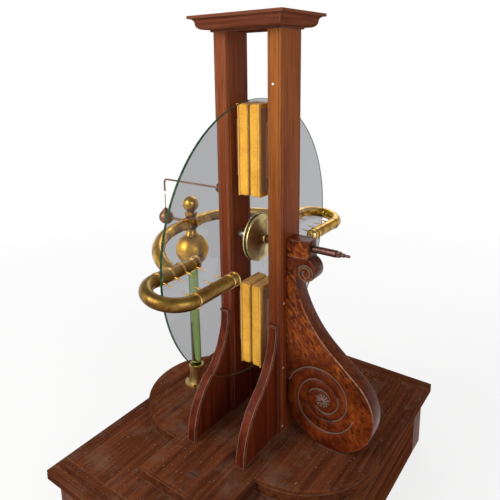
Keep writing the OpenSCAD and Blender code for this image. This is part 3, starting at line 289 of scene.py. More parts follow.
def wood(name, light, dark, along, finish, dusty=0.0, painted_light=None, wear_and_highlight=0.8):
    """Mahogany or beech, planed, oiled and rubbed: long dark pores in a ribbon figure, a low shine, pale
    arrises where hands have worn it and a highlight is painted along them, and grey dust in grooves and on
    level faces. A post can also be made lighter towards the top, with its front painted lighter as the lit
    side."""
    made, t = blank(name)
    place = add(t, "TexCoord").outputs["Object"]
    normal = add(t, "NewGeometry").outputs["Normal"]
    facing = add(t, "SeparateXYZ", {0: normal})
    grain = [finish.grain_length if axis in along else finish.grain_width for axis in range(3)]
    lines = add(t, "VectorMath", {0: place, 1: grain}, operation="DIVIDE")
    pores = add(t, "TexNoise", {"Vector": lines, "Scale": 1.0, "Detail": 3.0, "Roughness": 0.65})
    # Ribbons about 8 mm wide in a figure of about 22 mm
    ribbons = add(t, "TexNoise", {"Vector": lines, "Scale": 0.4, "Detail": 3.0, "Distortion": 0.6})
    figure = add(t, "TexNoise", {"Vector": lines, "Scale": 0.14, "Detail": 4.0, "Distortion": 1.1})
    tone = add(t, "Math", {0: ribbons, 1: 0.7, 2: figure}, operation="MULTIPLY_ADD")
    tone = add(t, "MapRange", {"Value": tone, "From Min": 0.66, "From Max": 1.04})
    if painted_light:
        # Lighter towards the top, with painted light: the front, which faces the lamps, is painted lighter
        # than the sides
        height = add(t, "SeparateXYZ", {0: place}).outputs["Z"]
        rise = add(t, "MapRange", {"Value": height, "From Min": painted_light[0], "From Max": painted_light[1]})
        # Painted light: faces turned to the front get the full lightening, the others only a share
        front = add(t, "MapRange", {"Value": facing.outputs["Y"], "From Min": -0.3, "From Max": -0.9,
                                    "To Min": painted_light[2]})
        rise = add(t, "Math", {0: rise, 1: front}, operation="MULTIPLY")
        tone = add(t, "Math", {0: tone, 1: 0.28}, operation="MULTIPLY")
        tone = add(t, "Math", {0: rise, 1: 0.7, 2: tone}, operation="MULTIPLY_ADD")
    open_pores = add(t, "MapRange", {"Value": pores, "From Min": 0.5, "From Max": 0.78, "To Max": 0.65})
    # Wear and painted highlight: pale where the face turns within 3 mm and nothing shades it
    turned = add(t, "Bevel", {"Radius": 3 * MM}, samples=4)
    even = add(t, "VectorMath", {0: turned, 1: normal}, operation="DOT_PRODUCT").outputs["Value"]
    open_air = add(t, "AmbientOcclusion", {"Distance": 5 * MM}, samples=6).outputs["AO"]
    patches = add(t, "TexNoise", {"Vector": place, "Scale": 1 / (17 * MM), "Detail": 4.0})
    worn = add(t, "MapRange", {"Value": even, "From Min": 0.985, "From Max": 0.84, "To Max": wear_and_highlight})
    worn = add(t, "Math", {0: worn, 1: open_air}, operation="MULTIPLY")
    worn = add(t, "Math", {0: worn, 1: patches}, operation="MULTIPLY", use_clamp=True)
    shut = add(t, "MapRange", {"Value": open_air, "From Min": 0.6, "From Max": 0.3,
                               "To Max": 0.35 if dusty else 0.15})
    layers = [(tone, light), (open_pores, finish.pore), (worn, finish.worn), (shut, finish.dust)]
    rough = add(t, "MapRange", {"Value": pores, "From Min": 0.3, "From Max": 0.7,
                                "To Min": 0.32, "To Max": 0.5})
    if dusty:
        # Dust lies on what faces up: a thin veil in clouds of about 90 mm, and grains of 2 to 5 mm
        level = add(t, "MapRange", {"Value": facing.outputs["Z"], "From Min": 0.7, "From Max": 0.98})
        clouds = add(t, "TexNoise", {"Vector": place, "Scale": 1 / (90 * MM), "Detail": 8.0,
                                     "Roughness": 0.7})
        lying = add(t, "MapRange", {"Value": clouds, "From Min": 0.48, "From Max": 0.85, "To Max": dusty})
        for size, least in ((4.5 * MM, 0.69), (2.2 * MM, 0.7)):
            grains = add(t, "TexNoise", {"Vector": place, "Scale": 1 / size, "Detail": 2.0})
            specks = add(t, "MapRange", {"Value": grains, "From Min": least, "From Max": least + 0.06,
                                         "To Max": 0.7})
            lying = add(t, "Math", {0: lying, 1: specks}, operation="MAXIMUM")
        lying = add(t, "Math", {0: lying, 1: level}, operation="MULTIPLY")
        layers.append((lying, finish.dust))
        rough = add(t, "Math", {0: lying, 1: 0.5, 2: rough}, operation="MULTIPLY_ADD")
    colour = dark
    for share, shade in layers:
        colour = add(t, "Mix", {FACTOR: share, FIRST: colour, SECOND: shade}, data_type="RGBA")
    bump = add(t, "Bump", {"Height": pores, "Strength": 0.3, "Distance": 0.4 * MM}, invert=True)
    # Rubbed oil without a film shines less than a varnish would, and dust takes even that away
    shader = add(t, "BsdfPrincipled", {"Base Color": colour, "Roughness": rough, "Normal": bump, "IOR": 1.5,
                                       "Specular IOR Level": 0.0 if dusty else 0.06})
    add(t, "OutputMaterial", {"Surface": shader})
    return made


def burl(name, finish):
    """Burl walnut, carved and polished: flames and knots in gold, red and dark brown under a warm gloss,
    with dark wax and painted shade and pale dust and painted highlight left in the carved lines, an edge
    worn to pale wood with a painted highlight, and sides painted darker as shade."""
    made, t = blank(name)
    place = add(t, "TexCoord").outputs["Object"]
    # Flames 10 mm wide lean down along the sweep; clouds of 80 mm, swirls of 30 mm and flecks of 4 mm
    leaning = add(t, "Mapping", {"Vector": place, "Rotation": (0, math.radians(-37), 0),
                                 "Scale": (10 * MM, 10 * MM, 26 * MM)}, vector_type="TEXTURE")
    flames = add(t, "TexNoise", {"Vector": leaning, "Scale": 1.0, "Detail": 5.0, "Distortion": 1.9})
    clouds, swirl, flecks = (
        add(t, "TexNoise", {"Vector": place, "Scale": 1 / size, "Detail": detail, "Distortion": bend})
        for size, detail, bend in ((80 * MM, 3.0, 0.8), (30 * MM, 6.0, 2.4), (4 * MM, 4.0, 1.5)))
    # Marks on the carved mesh: golden sap; sides painted darker as shade; wax, also painted shade in the
    # carving; the worn edge, also a painted highlight; dust, also painted highlight
    sap, side, wax, bare, dust = (add(t, "Attribute", attribute_name=layer).outputs["Fac"]
                                  for layer in ("sap", "side", "wax", "edge", "dust"))
    tone = add(t, "Math", {0: swirl, 1: 0.7, 2: clouds}, operation="MULTIPLY_ADD")
    tone = add(t, "MapRange", {"Value": tone, "From Min": 0.68, "From Max": 1.04})
    # The figure is golden where the sapwood runs, and nearly black between its flames
    lit = add(t, "MapRange", {"Value": flames, "From Min": 0.47, "From Max": 0.64})
    gold = add(t, "Math", {0: sap, 1: lit}, operation="MULTIPLY")
    between = add(t, "MapRange", {"Value": flames, "From Min": 0.46, "From Max": 0.34, "To Max": 0.6})
    spots = add(t, "MapRange", {"Value": flecks, "From Min": 0.55, "From Max": 0.75, "To Max": 0.6})
    broken = add(t, "MapRange", {"Value": swirl, "From Min": 0.36, "From Max": 0.52, "To Min": 0.35})
    bare = add(t, "Math", {0: bare, 1: broken}, operation="MULTIPLY")
    colour = finish.burl_dark
    for share, shade in ((tone, finish.burl_light), (gold, finish.burl_gold), (between, finish.pore),
                         (spots, finish.pore), (side, finish.burl_shaded_side), (wax, finish.pore),
                         (bare, finish.bare), (dust, finish.dust)):
        colour = add(t, "Mix", {FACTOR: share, FIRST: colour, SECOND: shade}, data_type="RGBA")
    rough = add(t, "Math", {0: dust, 1: 0.4, 2: 0.28}, operation="MULTIPLY_ADD")
    bump = add(t, "Bump", {"Height": flecks, "Strength": 0.15, "Distance": 0.4 * MM}, invert=True)
    shader = add(t, "BsdfPrincipled", {"Base Color": colour, "Roughness": rough, "Normal": bump, "IOR": 1.5,
                                       "Specular IOR Level": 0.1})
    add(t, "OutputMaterial", {"Surface": shader})
    return made


def metal(name, bright, dull, patch, rough, under=0.0, spun=0.0):
    """A turned or spun metal, polished and then lacquered or left: clear reflections broken by patches of
    tarnish, which is deepest in corners, and by painted shade that darkens and dulls the faces that turn
    downward. Without a dull colour the tarnish and painted shade change only the shine."""
    made, t = blank(name)
    place = add(t, "TexCoord").outputs["Object"]
    normal = add(t, "NewGeometry").outputs["Normal"]
    clouds = add(t, "TexNoise", {"Vector": place, "Scale": 1 / patch, "Detail": 6.0, "Distortion": 0.6})
    # Fine scratches and spots, drawn at 3 mm so that they show
    fine = add(t, "TexNoise", {"Vector": place, "Scale": 1 / (3 * MM), "Detail": 4.0})
    tarnish_and_shade = add(t, "Math", {0: fine, 1: 0.35, 2: clouds}, operation="MULTIPLY_ADD")
    tarnish_and_shade = add(t, "MapRange", {"Value": tarnish_and_shade, "From Min": 0.55, "From Max": 1.05})
    # Painted shade: faces that turn downward take the dull colour and a rougher shine, as far as under
    # allows
    up = add(t, "SeparateXYZ", {0: normal}).outputs["Z"]
    painted_underside_shade = add(t, "MapRange", {"Value": up, "From Min": 0.75, "From Max": -0.55, "To Max": under})
    tarnish_and_shade = add(t, "Math", {0: tarnish_and_shade, 1: painted_underside_shade}, operation="ADD")
    open_air = add(t, "AmbientOcclusion", {"Distance": 5 * MM}, samples=6).outputs["AO"]
    shut = add(t, "MapRange", {"Value": open_air, "From Min": 0.8, "From Max": 0.3, "To Max": 0.5})
    tarnish_and_shade = add(t, "Math", {0: tarnish_and_shade, 1: shut}, operation="ADD", use_clamp=True)
    colour = bright
    if dull:
        colour = add(t, "Mix", {FACTOR: tarnish_and_shade, FIRST: bright, SECOND: dull}, data_type="RGBA")
    shine = add(t, "MapRange", {"Value": tarnish_and_shade, "To Min": rough, "To Max": rough + 0.2})
    bump = add(t, "Bump", {"Height": fine, "Strength": 0.06, "Distance": 0.3 * MM})
    inputs = {"Base Color": colour, "Metallic": 1.0, "Roughness": shine, "Normal": bump, "Anisotropic": spun}
    if spun:
        # The spinner's tool left fine rings round the shaft, which draw a highlight out along the radius
        inputs["Tangent"] = add(t, "Tangent", direction_type="RADIAL", axis="X")
    add(t, "OutputMaterial", {"Surface": add(t, "BsdfPrincipled", inputs)})
    return made


def lamplit(t, solid, tint_of_light):
    """Glass that lamps shine through, as they do through clear glass, with the light tinted."""
    lamp = add(t, "LightPath").outputs["Is Shadow Ray"]
    let = add(t, "BsdfTransparent", {"Color": tint_of_light})
    add(t, "OutputMaterial", {"Surface": add(t, "MixShader", {0: lamp, 1: solid, 2: let})})


def plate_glass(name, finish):
    """Cast plate glass, ground flat and polished: clear and even, with a faint mirror on its faces."""
    made, t = blank(name)
    # Old plate is not quite flat: waves of about 120 mm
    place = add(t, "TexCoord").outputs["Object"]
    waves = add(t, "TexNoise", {"Vector": place, "Scale": 1 / (120 * MM), "Detail": 1.0})
    bump = add(t, "Bump", {"Height": waves, "Strength": 0.02, "Distance": 1 * MM})
    # The dark tint keeps the mirrored white of the room off what lies behind the plate
    solid = add(t, "BsdfPrincipled", {"Base Color": finish.plate, "Roughness": 0.0, "IOR": 1.52,
                                      "Transmission Weight": 1.0, "Specular Tint": (0.1, 0.1, 0.1, 1.0),
                                      "Normal": bump})
    lamplit(t, solid, finish.light)
    return made


def ground_glass(name, finish):
    """The ground edge of plate glass: the eye looks along the sheet there, so it is dark bottle green."""
    made, t = blank(name)
    place = add(t, "TexCoord").outputs["Object"]
    # Chips and shells of about 7 mm left by the grinding
    chips = add(t, "TexNoise", {"Vector": place, "Scale": 1 / (7 * MM), "Detail": 3.0})
    share = add(t, "MapRange", {"Value": chips, "From Min": 0.45, "From Max": 0.7, "To Max": 0.6})
    colour = add(t, "Mix", {FACTOR: share, FIRST: finish.rim, SECOND: finish.rim_chip}, data_type="RGBA")
    rough = add(t, "MapRange", {"Value": chips, "To Min": 0.25, "To Max": 0.5})
    shader = add(t, "BsdfPrincipled", {"Base Color": colour, "Roughness": rough, "IOR": 1.52,
                                       "Specular IOR Level": 0.15})
    add(t, "OutputMaterial", {"Surface": shader})
    return made


def column_glass(name, finish):
    """Green bottle glass, drawn into a rod: clear in the middle, deep green at the sides where the eye
    meets more of it, with streaks drawn out along it."""
    made, t = blank(name)
    place = add(t, "TexCoord").outputs["Object"]
    # Streaks about 5 mm wide and 200 mm long
    drawn = add(t, "VectorMath", {0: place, 1: (5 * MM, 5 * MM, 200 * MM)}, operation="DIVIDE")
    streaks = add(t, "TexNoise", {"Vector": drawn, "Scale": 1.0, "Detail": 3.0})
    share = add(t, "MapRange", {"Value": streaks, "From Min": 0.45, "From Max": 0.65, "To Max": 0.25})
    sides = add(t, "LayerWeight", {"Blend": 0.4}).outputs["Facing"]
    sides = add(t, "MapRange", {"Value": sides, "From Min": 0.15, "From Max": 0.6})
    share = add(t, "Math", {0: share, 1: sides}, operation="ADD", use_clamp=True)
    colour = add(t, "Mix", {FACTOR: share, FIRST: finish.column, SECOND: finish.column_dark},
                 data_type="RGBA")
    bump = add(t, "Bump", {"Height": streaks, "Strength": 0.3, "Distance": 0.6 * MM})
    solid = add(t, "BsdfPrincipled", {"Base Color": colour, "Roughness": 0.04, "IOR": 1.52,
                                      "Transmission Weight": 1.0, "Normal": bump})
    lamplit(t, solid, finish.column)
    return made


def leather(name, light, dark, worn, finish):
    """Vegetable tanned leather, dyed and rubbed with amalgam: a dull, mottled yellow over fine grain,
    handled darker in places, rubbed pale along its arrises and browned at its ends."""
    made, t = blank(name)
    place = add(t, "TexCoord").outputs["Object"]
    normal = add(t, "NewGeometry").outputs["Normal"]
    stains = add(t, "TexNoise", {"Vector": place, "Scale": 1 / (45 * MM), "Detail": 6.0, "Roughness": 0.6})
    mottle = add(t, "TexNoise", {"Vector": place, "Scale": 1 / (5 * MM), "Detail": 4.0, "Roughness": 0.7})
    pebbles = add(t, "TexVoronoi", {"Vector": place, "Scale": 1 / finish.grain})
    handled = add(t, "Math", {0: mottle, 1: 0.8, 2: stains}, operation="MULTIPLY_ADD")
    handled = add(t, "MapRange", {"Value": handled, "From Min": 0.72, "From Max": 1.15})
    # The ends of the rubbers face up and down, where dust and sweat have browned them
    up = add(t, "SeparateXYZ", {0: normal}).outputs["Z"]
    level = add(t, "Math", {0: up}, operation="ABSOLUTE")
    ends = add(t, "MapRange", {"Value": level, "From Min": 0.5, "From Max": 0.95, "To Max": 0.85})
    # The same brown also darkens the leather in recesses and corners
    open_air = add(t, "AmbientOcclusion", {"Distance": 4 * MM}, samples=6).outputs["AO"]
    shut = add(t, "MapRange", {"Value": open_air, "From Min": 0.7, "From Max": 0.3, "To Max": 0.8})
    ends = add(t, "Math", {0: ends, 1: shut}, operation="MAXIMUM")
    ends = add(t, "Math", {0: ends, 1: mottle}, operation="MULTIPLY")
    ends = add(t, "Math", {0: ends, 1: 1.7}, operation="MULTIPLY", use_clamp=True)
    turned = add(t, "Bevel", {"Radius": 3 * MM}, samples=4)
    even = add(t, "VectorMath", {0: turned, 1: normal}, operation="DOT_PRODUCT").outputs["Value"]
    rubbed = add(t, "MapRange", {"Value": even, "From Min": 0.98, "From Max": 0.85, "To Max": 1.0})
    rubbed = add(t, "Math", {0: rubbed, 1: mottle}, operation="MULTIPLY")
    colour = light
    for share, shade in ((handled, dark), (ends, worn), (rubbed, finish.rubbed)):
        colour = add(t, "Mix", {FACTOR: share, FIRST: colour, SECOND: shade}, data_type="RGBA")
    rough = add(t, "MapRange", {"Value": stains, "To Min": 0.6, "To Max": 0.75})
    bump = add(t, "Bump", {"Height": pebbles.outputs["Distance"], "Strength": 0.12, "Distance": 0.4 * MM})
    shader = add(t, "BsdfPrincipled", {"Base Color": colour, "Roughness": rough, "Normal": bump,
                                       "IOR": 1.5, "Specular IOR Level": 0.15})
    add(t, "OutputMaterial", {"Surface": shader})
    return made


def quads(rows, count, start=0, loop=False):
    """Faces between rows of points that each close on themselves; in a loop the last row meets the first."""
    faces = []
    for row in range(rows if loop else rows - 1):
        here, after = start + row * count, start + (row + 1) % rows * count
        for i in range(count):
            j = (i + 1) % count
            faces.append([here + i, here + j, after + j, after + i])
    return faces


# Scroll bracket, in millimetres and degrees in the plane of X and Z: the rosette in the large volute's eye,
# the small volute's eye and outer turn, the foot of the bearing block, and half the thickness
EYE, EYE_R = np.array((171.5, 309.0)), 15.0
CURL = np.array((126.5, 583.0))
CURL_RIM, CURL_RIM_R = np.array((123.5, 590.0)), 26.0
BLOCK_FOOT = 615.0
HALF = 19.0
# Where its outline is cut, between the bore and the carving
SECTION_Y = 15.8 * MM
# Each carved line: its centre, the angles and radii it passes, and the stretches where pale dust lies, which
# also paints a highlight along the line
SPIRALS = (
    (EYE, ((171, 84), (-7, 51.5), (-197, 33), (-257, 23), (-349, 16)), ((171, -60), (-188, -349))),
    (EYE, ((-18, 71.5), (-63, 73), (-126, 70), (-197, 53), (-390, 31), (-430, 30.5), (-490, 24)),
     ((-18, -250), (-330, -490))),
    (CURL, ((150, 17.5), (-138, 15.5), (-678, 3.5)), ((150, -600),)),
)
# A drying crack below the eye, from its upper to its lower end, and its depth and half width
CRACK = np.linspace((172.8, 227.4), (179.1, 210.6), 24)
CRACK_DEEP, CRACK_WIDE = 1.4, 0.5
# A dark knot in the golden figure and a golden glow beside the eye: centre and reach in X and Z
KNOT = np.array((171.0, 402.0)), np.array((30.0, 18.0))
GLOW = np.array((245.0, 290.0)), np.array((24.0, 55.0))
# Heights between which the figure is golden and the sweep's edge is worn and painted with a highlight, where
# that starts in X, and where the painted highlight along the foot of the block ends
GOLD_LOW, GOLD_HIGH = 370, 605
SWEEP_LOW, SWEEP_HIGH, SWEEP_X = 290, 540, 120
BLOCK_END = 131


def spiral_points(spiral, step=1.5):
    """Points along a carved spiral, with the angle of each."""
    centre, knots, _ = spiral
    angles = np.arange(knots[0][0], knots[-1][0] - step, -step)
    radii = np.interp(-angles, [-k[0] for k in knots], [k[1] for k in knots])
    # Evens out the corners between two knots
    wide = 15
    ends = np.r_[np.full(wide, radii[0]), radii, np.full(wide, radii[-1])]
    radii = np.convolve(ends, np.full(2 * wide + 1, 1 / (2 * wide + 1)), "valid")
    turned = np.radians(angles)
    return centre + radii[:, None] * np.c_[np.cos(turned), np.sin(turned)], angles


def scroll_section():
    """Outline of the scroll in X and Z, in millimetres, cut from the CAD node between bore and carving."""
    work = bmesh.new()
    work.from_mesh(NODES["scroll_bracket"].data)
    bmesh.ops.remove_doubles(work, verts=work.verts, dist=WELD)
    cut = bmesh.ops.bisect_plane(work, geom=work.verts[:] + work.edges[:] + work.faces[:],
                                 plane_co=(0, SECTION_Y, 0), plane_no=(0, 1, 0),
                                 clear_inner=True, clear_outer=True)["geom_cut"]
    nearby = {}
    for edge in (e for e in cut if isinstance(e, bmesh.types.BMEdge)):
        first, second = edge.verts
        nearby.setdefault(first, []).append(second)
        nearby.setdefault(second, []).append(first)
    here = next(iter(nearby))
    outline = []
    while here in nearby:
        outline.append((here.co.x / MM, here.co.z / MM))
        here = next((v for v in nearby.pop(here) if v in nearby), None)
    work.free()
    if nearby:
        raise ValueError("the scroll's section is more than one loop")
    return np.array(outline)


def even_steps(outline, step):
    """The outline with its long sides divided, turned counterclockwise."""
    along = np.roll(outline, -1, axis=0)
    area = (outline[:, 0] * along[:, 1] - along[:, 0] * outline[:, 1]).sum()
    if area < 0:
        outline = outline[::-1]
        along = np.roll(outline, -1, axis=0)
    made = []
    for one, other in zip(outline, along):
        parts = max(1, math.ceil(np.linalg.norm(other - one) / step))
        made += [one + (other - one) * i / parts for i in range(parts)]
    return np.array(made)


def inside(points, outline):
    """Which points lie inside the outline."""
    x, z = points[:, :1], points[:, 1:]
    x0, z0 = outline[:, 0], outline[:, 1]
    x1, z1 = np.roll(x0, -1), np.roll(z0, -1)
    with np.errstate(divide="ignore", invalid="ignore"):
        crossing = ((z0 > z) != (z1 > z)) & (x < (x1 - x0) * (z - z0) / (z1 - z0) + x0)
    return crossing.sum(axis=1) % 2 == 1


def nearest(points, targets):
    """Distance of each point to the nearest target, and which target that is."""
    tree = KDTree(len(targets))
    for i, target in enumerate(targets):
        tree.insert((target[0], target[1], 0.0), i)
    tree.balance()
    found = [tree.find((p[0], p[1], 0.0)) for p in points]
    return np.array([f[2] for f in found]), np.array([f[1] for f in found])


def face_points(rim, sizes):
    """Points on the scroll's face: its rim, rows inside that, rows along the carving, and a grid."""
    edge, cell = sizes.edge / MM, sizes.cell / MM
    ahead = np.roll(rim, -1, axis=0) - np.roll(rim, 1, axis=0)
    inward = np.c_[-ahead[:, 1], ahead[:, 0]] / np.linalg.norm(ahead, axis=1)[:, None]
    extra = [rim + inward * edge * share for share in (0.15, 0.5, 1.0)]
    for spiral in SPIRALS:
        line, _ = spiral_points(spiral)
        out = (line - spiral[0]) / np.linalg.norm(line - spiral[0], axis=1)[:, None]
        extra += [line + out * shift for shift in (-5, -2.6, -1.2, 0, 1.2, 2.6, 5)]
    extra += [CRACK + np.array((shift, 0.0)) for shift in (-1.0, -0.4, 0.0, 0.4, 1.0)]
    for radius in np.arange(1.0, EYE_R + 2, 0.9):
        turn = np.linspace(0, 2 * math.pi, max(8, int(6 * sizes.flutes * radius / EYE_R)), endpoint=False)
        extra.append(EYE + radius * np.c_[np.cos(turn), np.sin(turn)])
    low, high = rim.min(axis=0), rim.max(axis=0)
    grid = np.array([(x + (row % 2) * cell / 2, z)
                     for row, z in enumerate(np.arange(low[1], high[1], cell * 0.87))
                     for x in np.arange(low[0], high[0], cell)])
    rows = np.concatenate(extra)
    rows = rows[inside(rows, rim)]
    rows = rows[nearest(rows, rim)[0] > 0.12 * edge]
    grid = grid[inside(grid, rim)]
    grid = grid[nearest(grid, np.concatenate((rim, rows)))[0] > 0.6 * cell]
    return np.concatenate((rim, rows, grid))


def carved_depth(flat, from_rim, sizes):
    """How deep the carver went at each point of the face, and the dust and wax that lie there, which also
    paint highlight and shade along the carving.
    """
    edge = sizes.edge / MM
    fall = (edge - from_rim).clip(min=0)
    deep = edge - np.sqrt((edge * edge - fall * fall).clip(min=0))
    dust = np.zeros(len(flat))
    away, _ = nearest(flat, CRACK)
    deep = np.maximum(deep, CRACK_DEEP * np.exp(-(away / CRACK_WIDE) ** 2))
    wax = np.exp(-(away / 0.6) ** 2)
    in_eye = np.linalg.norm(flat - EYE, axis=1)
    for spiral in SPIRALS:
        line, angles = spiral_points(spiral)
        away, which = nearest(flat, line)
        # A line deepens over its first 14 degrees, and those of the small volute are finer
        lead = ((angles[0] - angles[which]) / 14.0).clip(0, 1)
        scale = 1.0 if spiral[0] is EYE else 0.55
        here = lead * scale * (sizes.line_deep / MM * np.exp(-(away * MM / sizes.line_wide) ** 2)
                               + sizes.hollow_deep / MM * np.exp(-(away * MM / sizes.hollow_wide) ** 2))
        if spiral[0] is EYE:
            here[in_eye < EYE_R] = 0
        deep = np.maximum(deep, here)
        # Dark wax along each line, which also stands for painted shade in the groove
        wax = np.maximum(wax, 0.75 * lead * np.exp(-(away / 2.2) ** 2))
        # Pale dust in stretches along a line, which also stands for a painted highlight
        for first, last in spiral[2]:
            lies = (angles[which] <= first) & (angles[which] >= last)
            dust = np.maximum(dust, lies * 0.6 * np.exp(-(away / 0.9) ** 2))
    # The rosette: a button among flutes, standing in a ring
    turn = np.arctan2(flat[:, 1] - EYE[1], flat[:, 0] - EYE[0])
    share = in_eye / EYE_R
    flute = (0.5 + 0.5 * np.cos(sizes.flutes * turn)) * np.clip((share - 0.2) * 3, 0, 1)
    rosette = -1.4 + 3.2 * share ** 2 + 1.3 * flute * (1 - share ** 6) - 1.0 * (share < 0.24)
    eye = in_eye < EYE_R
    deep[eye] = rosette[eye]
    # Pale dust on the rosette's ridges and dark wax in its flutes, also painted highlight and shade
    dust[eye] = (0.5 * (1 - flute) * (share > 0.2))[eye]
    wax[eye] = (0.9 * flute)[eye]
    # The outer turn of the curl leans back, and the bearing block stands a little proud above it
    lean = sizes.lean / MM * np.clip((np.linalg.norm(flat - CURL, axis=1) - 18) / 9, 0, 1)
    leans = (np.linalg.norm(flat - CURL_RIM, axis=1) < CURL_RIM_R + 1) & (flat[:, 1] < BLOCK_FOOT)
    deep = np.where(leans, np.maximum(deep, lean), deep)
    proud = np.clip((flat[:, 1] - BLOCK_FOOT) / 1.5, 0, 1) * np.clip(from_rim / edge, 0, 1)
    return deep - sizes.proud / MM * proud, dust, wax


def figure_marks(flat, from_rim):
    """Where the figure is golden, where the arris is worn bare and painted with a highlight, and where the
    sides, painted darker as shade, begin.
    """
    x, z = flat[:, 0], flat[:, 1]
    between = np.clip((z - GOLD_LOW + 0.25 * (x - 150)) / 40, 0, 1) * np.clip((GOLD_HIGH - z) / 30, 0, 1)
    knot, glow = (np.exp(-(((flat - centre) / reach) ** 2).sum(axis=1)) for centre, reach in (KNOT, GLOW))
    sap = np.maximum(between * (1 - knot), np.maximum(0.7 * glow, 0.8 * (z > BLOCK_FOOT)))
    # Painted highlights along the sweep's arris and along the foot of the bearing block, laid on the worn
    # edge
    sweep_highlight = np.clip((x - SWEEP_X) / 30, 0, 1) * np.clip((z - SWEEP_LOW) / 60, 0, 1) * (z < SWEEP_HIGH)
    block_foot_highlight = 0.6 * np.exp(-((z - BLOCK_FOOT) / 1.2) ** 2) * (x < BLOCK_END)
    by_edge = np.exp(-(np.maximum(from_rim - 0.6, 0) / 0.9) ** 2)
    bare = np.maximum((0.12 + 0.85 * sweep_highlight) * by_edge, block_foot_highlight)
    # The sides, the faces between front and back, are painted darker as shade
    side = from_rim < 0.05
    bare[side] = 0
    return {"sap": sap, "edge": 0.45 * bare, "side": 0.7 * side}


def carve_scroll(sizes, material):
    """A mesh of the scroll bracket with hollowed volutes, a fluted rosette and worn edges."""
    rim = even_steps(scroll_section(), sizes.cell / MM)
    flat = face_points(rim, sizes)
    solved = delaunay_2d_cdt([Vector(p) for p in flat], [], [list(range(len(rim)))], 1, 1e-4)
    flat = np.array([tuple(v) for v in solved[0]])
    faces = [list(f) for f in solved[2]]
    ways = dict.fromkeys(pair for face in faces for pair in zip(face, face[1:] + face[:1]))
    border = [(one, other) for one, other in ways if (other, one) not in ways]
    from_rim, _ = nearest(flat, rim)
    deep, dust, wax = carved_depth(flat, from_rim, sizes)
    count = len(flat)
    front = np.c_[flat[:, 0], deep - HALF, flat[:, 1]]
    back = np.c_[flat[:, 0], HALF - deep, flat[:, 1]]
    vertices = np.concatenate((front, back)) * MM
    solid = faces + [[v + count for v in f[::-1]] for f in faces]
    solid += [[b, a, a + count, b + count] for a, b in border]
    made = piece("carved_scroll", vertices, solid, material, "frame", "burl_veneer", sharp=55)
    for name, values in {"dust": dust, **figure_marks(flat, from_rim), "wax": wax}.items():
        made.data.attributes.new(name, "FLOAT", "POINT").data.foreach_set(
            "value", np.concatenate((values, values)).astype(np.float32))
    return made


def bore(obj, start, end, radius):
    """Cuts a round hole along X through a mesh."""
    work = bmesh.new()
    bmesh.ops.create_cone(work, cap_ends=True, segments=48, radius1=radius, radius2=radius,
                          depth=end[0] - start[0])
    bmesh.ops.rotate(work, verts=work.verts, matrix=Matrix.Rotation(math.pi / 2, 3, "Y"))
    bmesh.ops.translate(work, verts=work.verts, vec=(Vector(start) + Vector(end)) / 2)
    mesh = bpy.data.meshes.new("drill")
    work.to_mesh(mesh)
    work.free()
    drill = bpy.data.objects.new("drill", mesh)
    bpy.context.scene.collection.objects.link(drill)
    cut = obj.modifiers.new("bore", "BOOLEAN")
    cut.operation = "DIFFERENCE"
    cut.solver = "EXACT"
    cut.object = drill
    settle(obj)
    bpy.data.objects.remove(drill)
    bpy.data.meshes.remove(mesh)


def settle(obj):
    """Applies an object's modifiers to its mesh."""
    view = bpy.context.evaluated_depsgraph_get()
    mesh = bpy.data.meshes.new_from_object(obj.evaluated_get(view), depsgraph=view)
    old = obj.data
    obj.modifiers.clear()
    obj.data = mesh
    bpy.data.meshes.remove(old)


def pad_shell(thick, wide, tall, corner, rounding):
    """A stuffed pad's closed form round the origin: its face at x = 0, its sides pulled in a little."""
    rings = []
    for turn in np.radians(np.linspace(0, 90, 5)):
        rings.append((rounding * (1 - math.cos(turn)), rounding * (1 - math.sin(turn))))
    rings += [(x, 0.0) for x in np.linspace(rounding, thick - 2 * MM, 6)[1:]]
    rings += [(thick - 0.6 * MM, 0.5 * MM), (thick, 2 * MM)]
    outline = []
    for quarter in range(4):
        a = math.radians(90 * quarter)
        cy = (wide / 2 - corner) * (1 if quarter in (0, 3) else -1)
        cz = (tall / 2 - corner) * (1 if quarter in (0, 1) else -1)
        for turn in np.linspace(0, math.pi / 2, 6):
            outline.append((cy + corner * math.cos(a + turn), cz + corner * math.sin(a + turn)))
    outline = np.array(outline)
    vertices, count = [], len(outline)
    for x, inset in rings:
        scale = np.array(((wide / 2 - inset) / (wide / 2), (tall / 2 - inset) / (tall / 2)))
        vertices += [(x, p[0], p[1]) for p in outline * scale]
    faces = quads(len(rings), count)
    faces.append(list(range(count))[::-1])
    faces.append([(len(rings) - 1) * count + i for i in range(count)])
    return vertices, faces


def inflate(obj, voxel, swell):
    """Swells a closed pad as stuffing does, with Blender's cloth, and keeps each point near its start."""
    remesh = obj.modifiers.new("remesh", "REMESH")
    remesh.mode = "VOXEL"
    remesh.voxel_size = voxel
    settle(obj)
    start = np.array([v.co for v in obj.data.vertices])
    cloth = obj.modifiers.new("stuffing", "CLOTH")
    cloth.settings.use_pressure = True
    cloth.settings.uniform_pressure_force = 4.0
    cloth.settings.effector_weights.gravity = 0.0
    cloth.settings.quality = 5
    scene = bpy.context.scene
    for number in range(1, STUFFING_FRAMES + 1):
        scene.frame_set(number)
    settle(obj)
    scene.frame_set(1)
    now = np.array([v.co for v in obj.data.vertices])
    move = now - start
    far = np.linalg.norm(move, axis=1)
    move *= (np.minimum(far, swell) / np.maximum(far, 1e-9))[:, None]
    return start + move


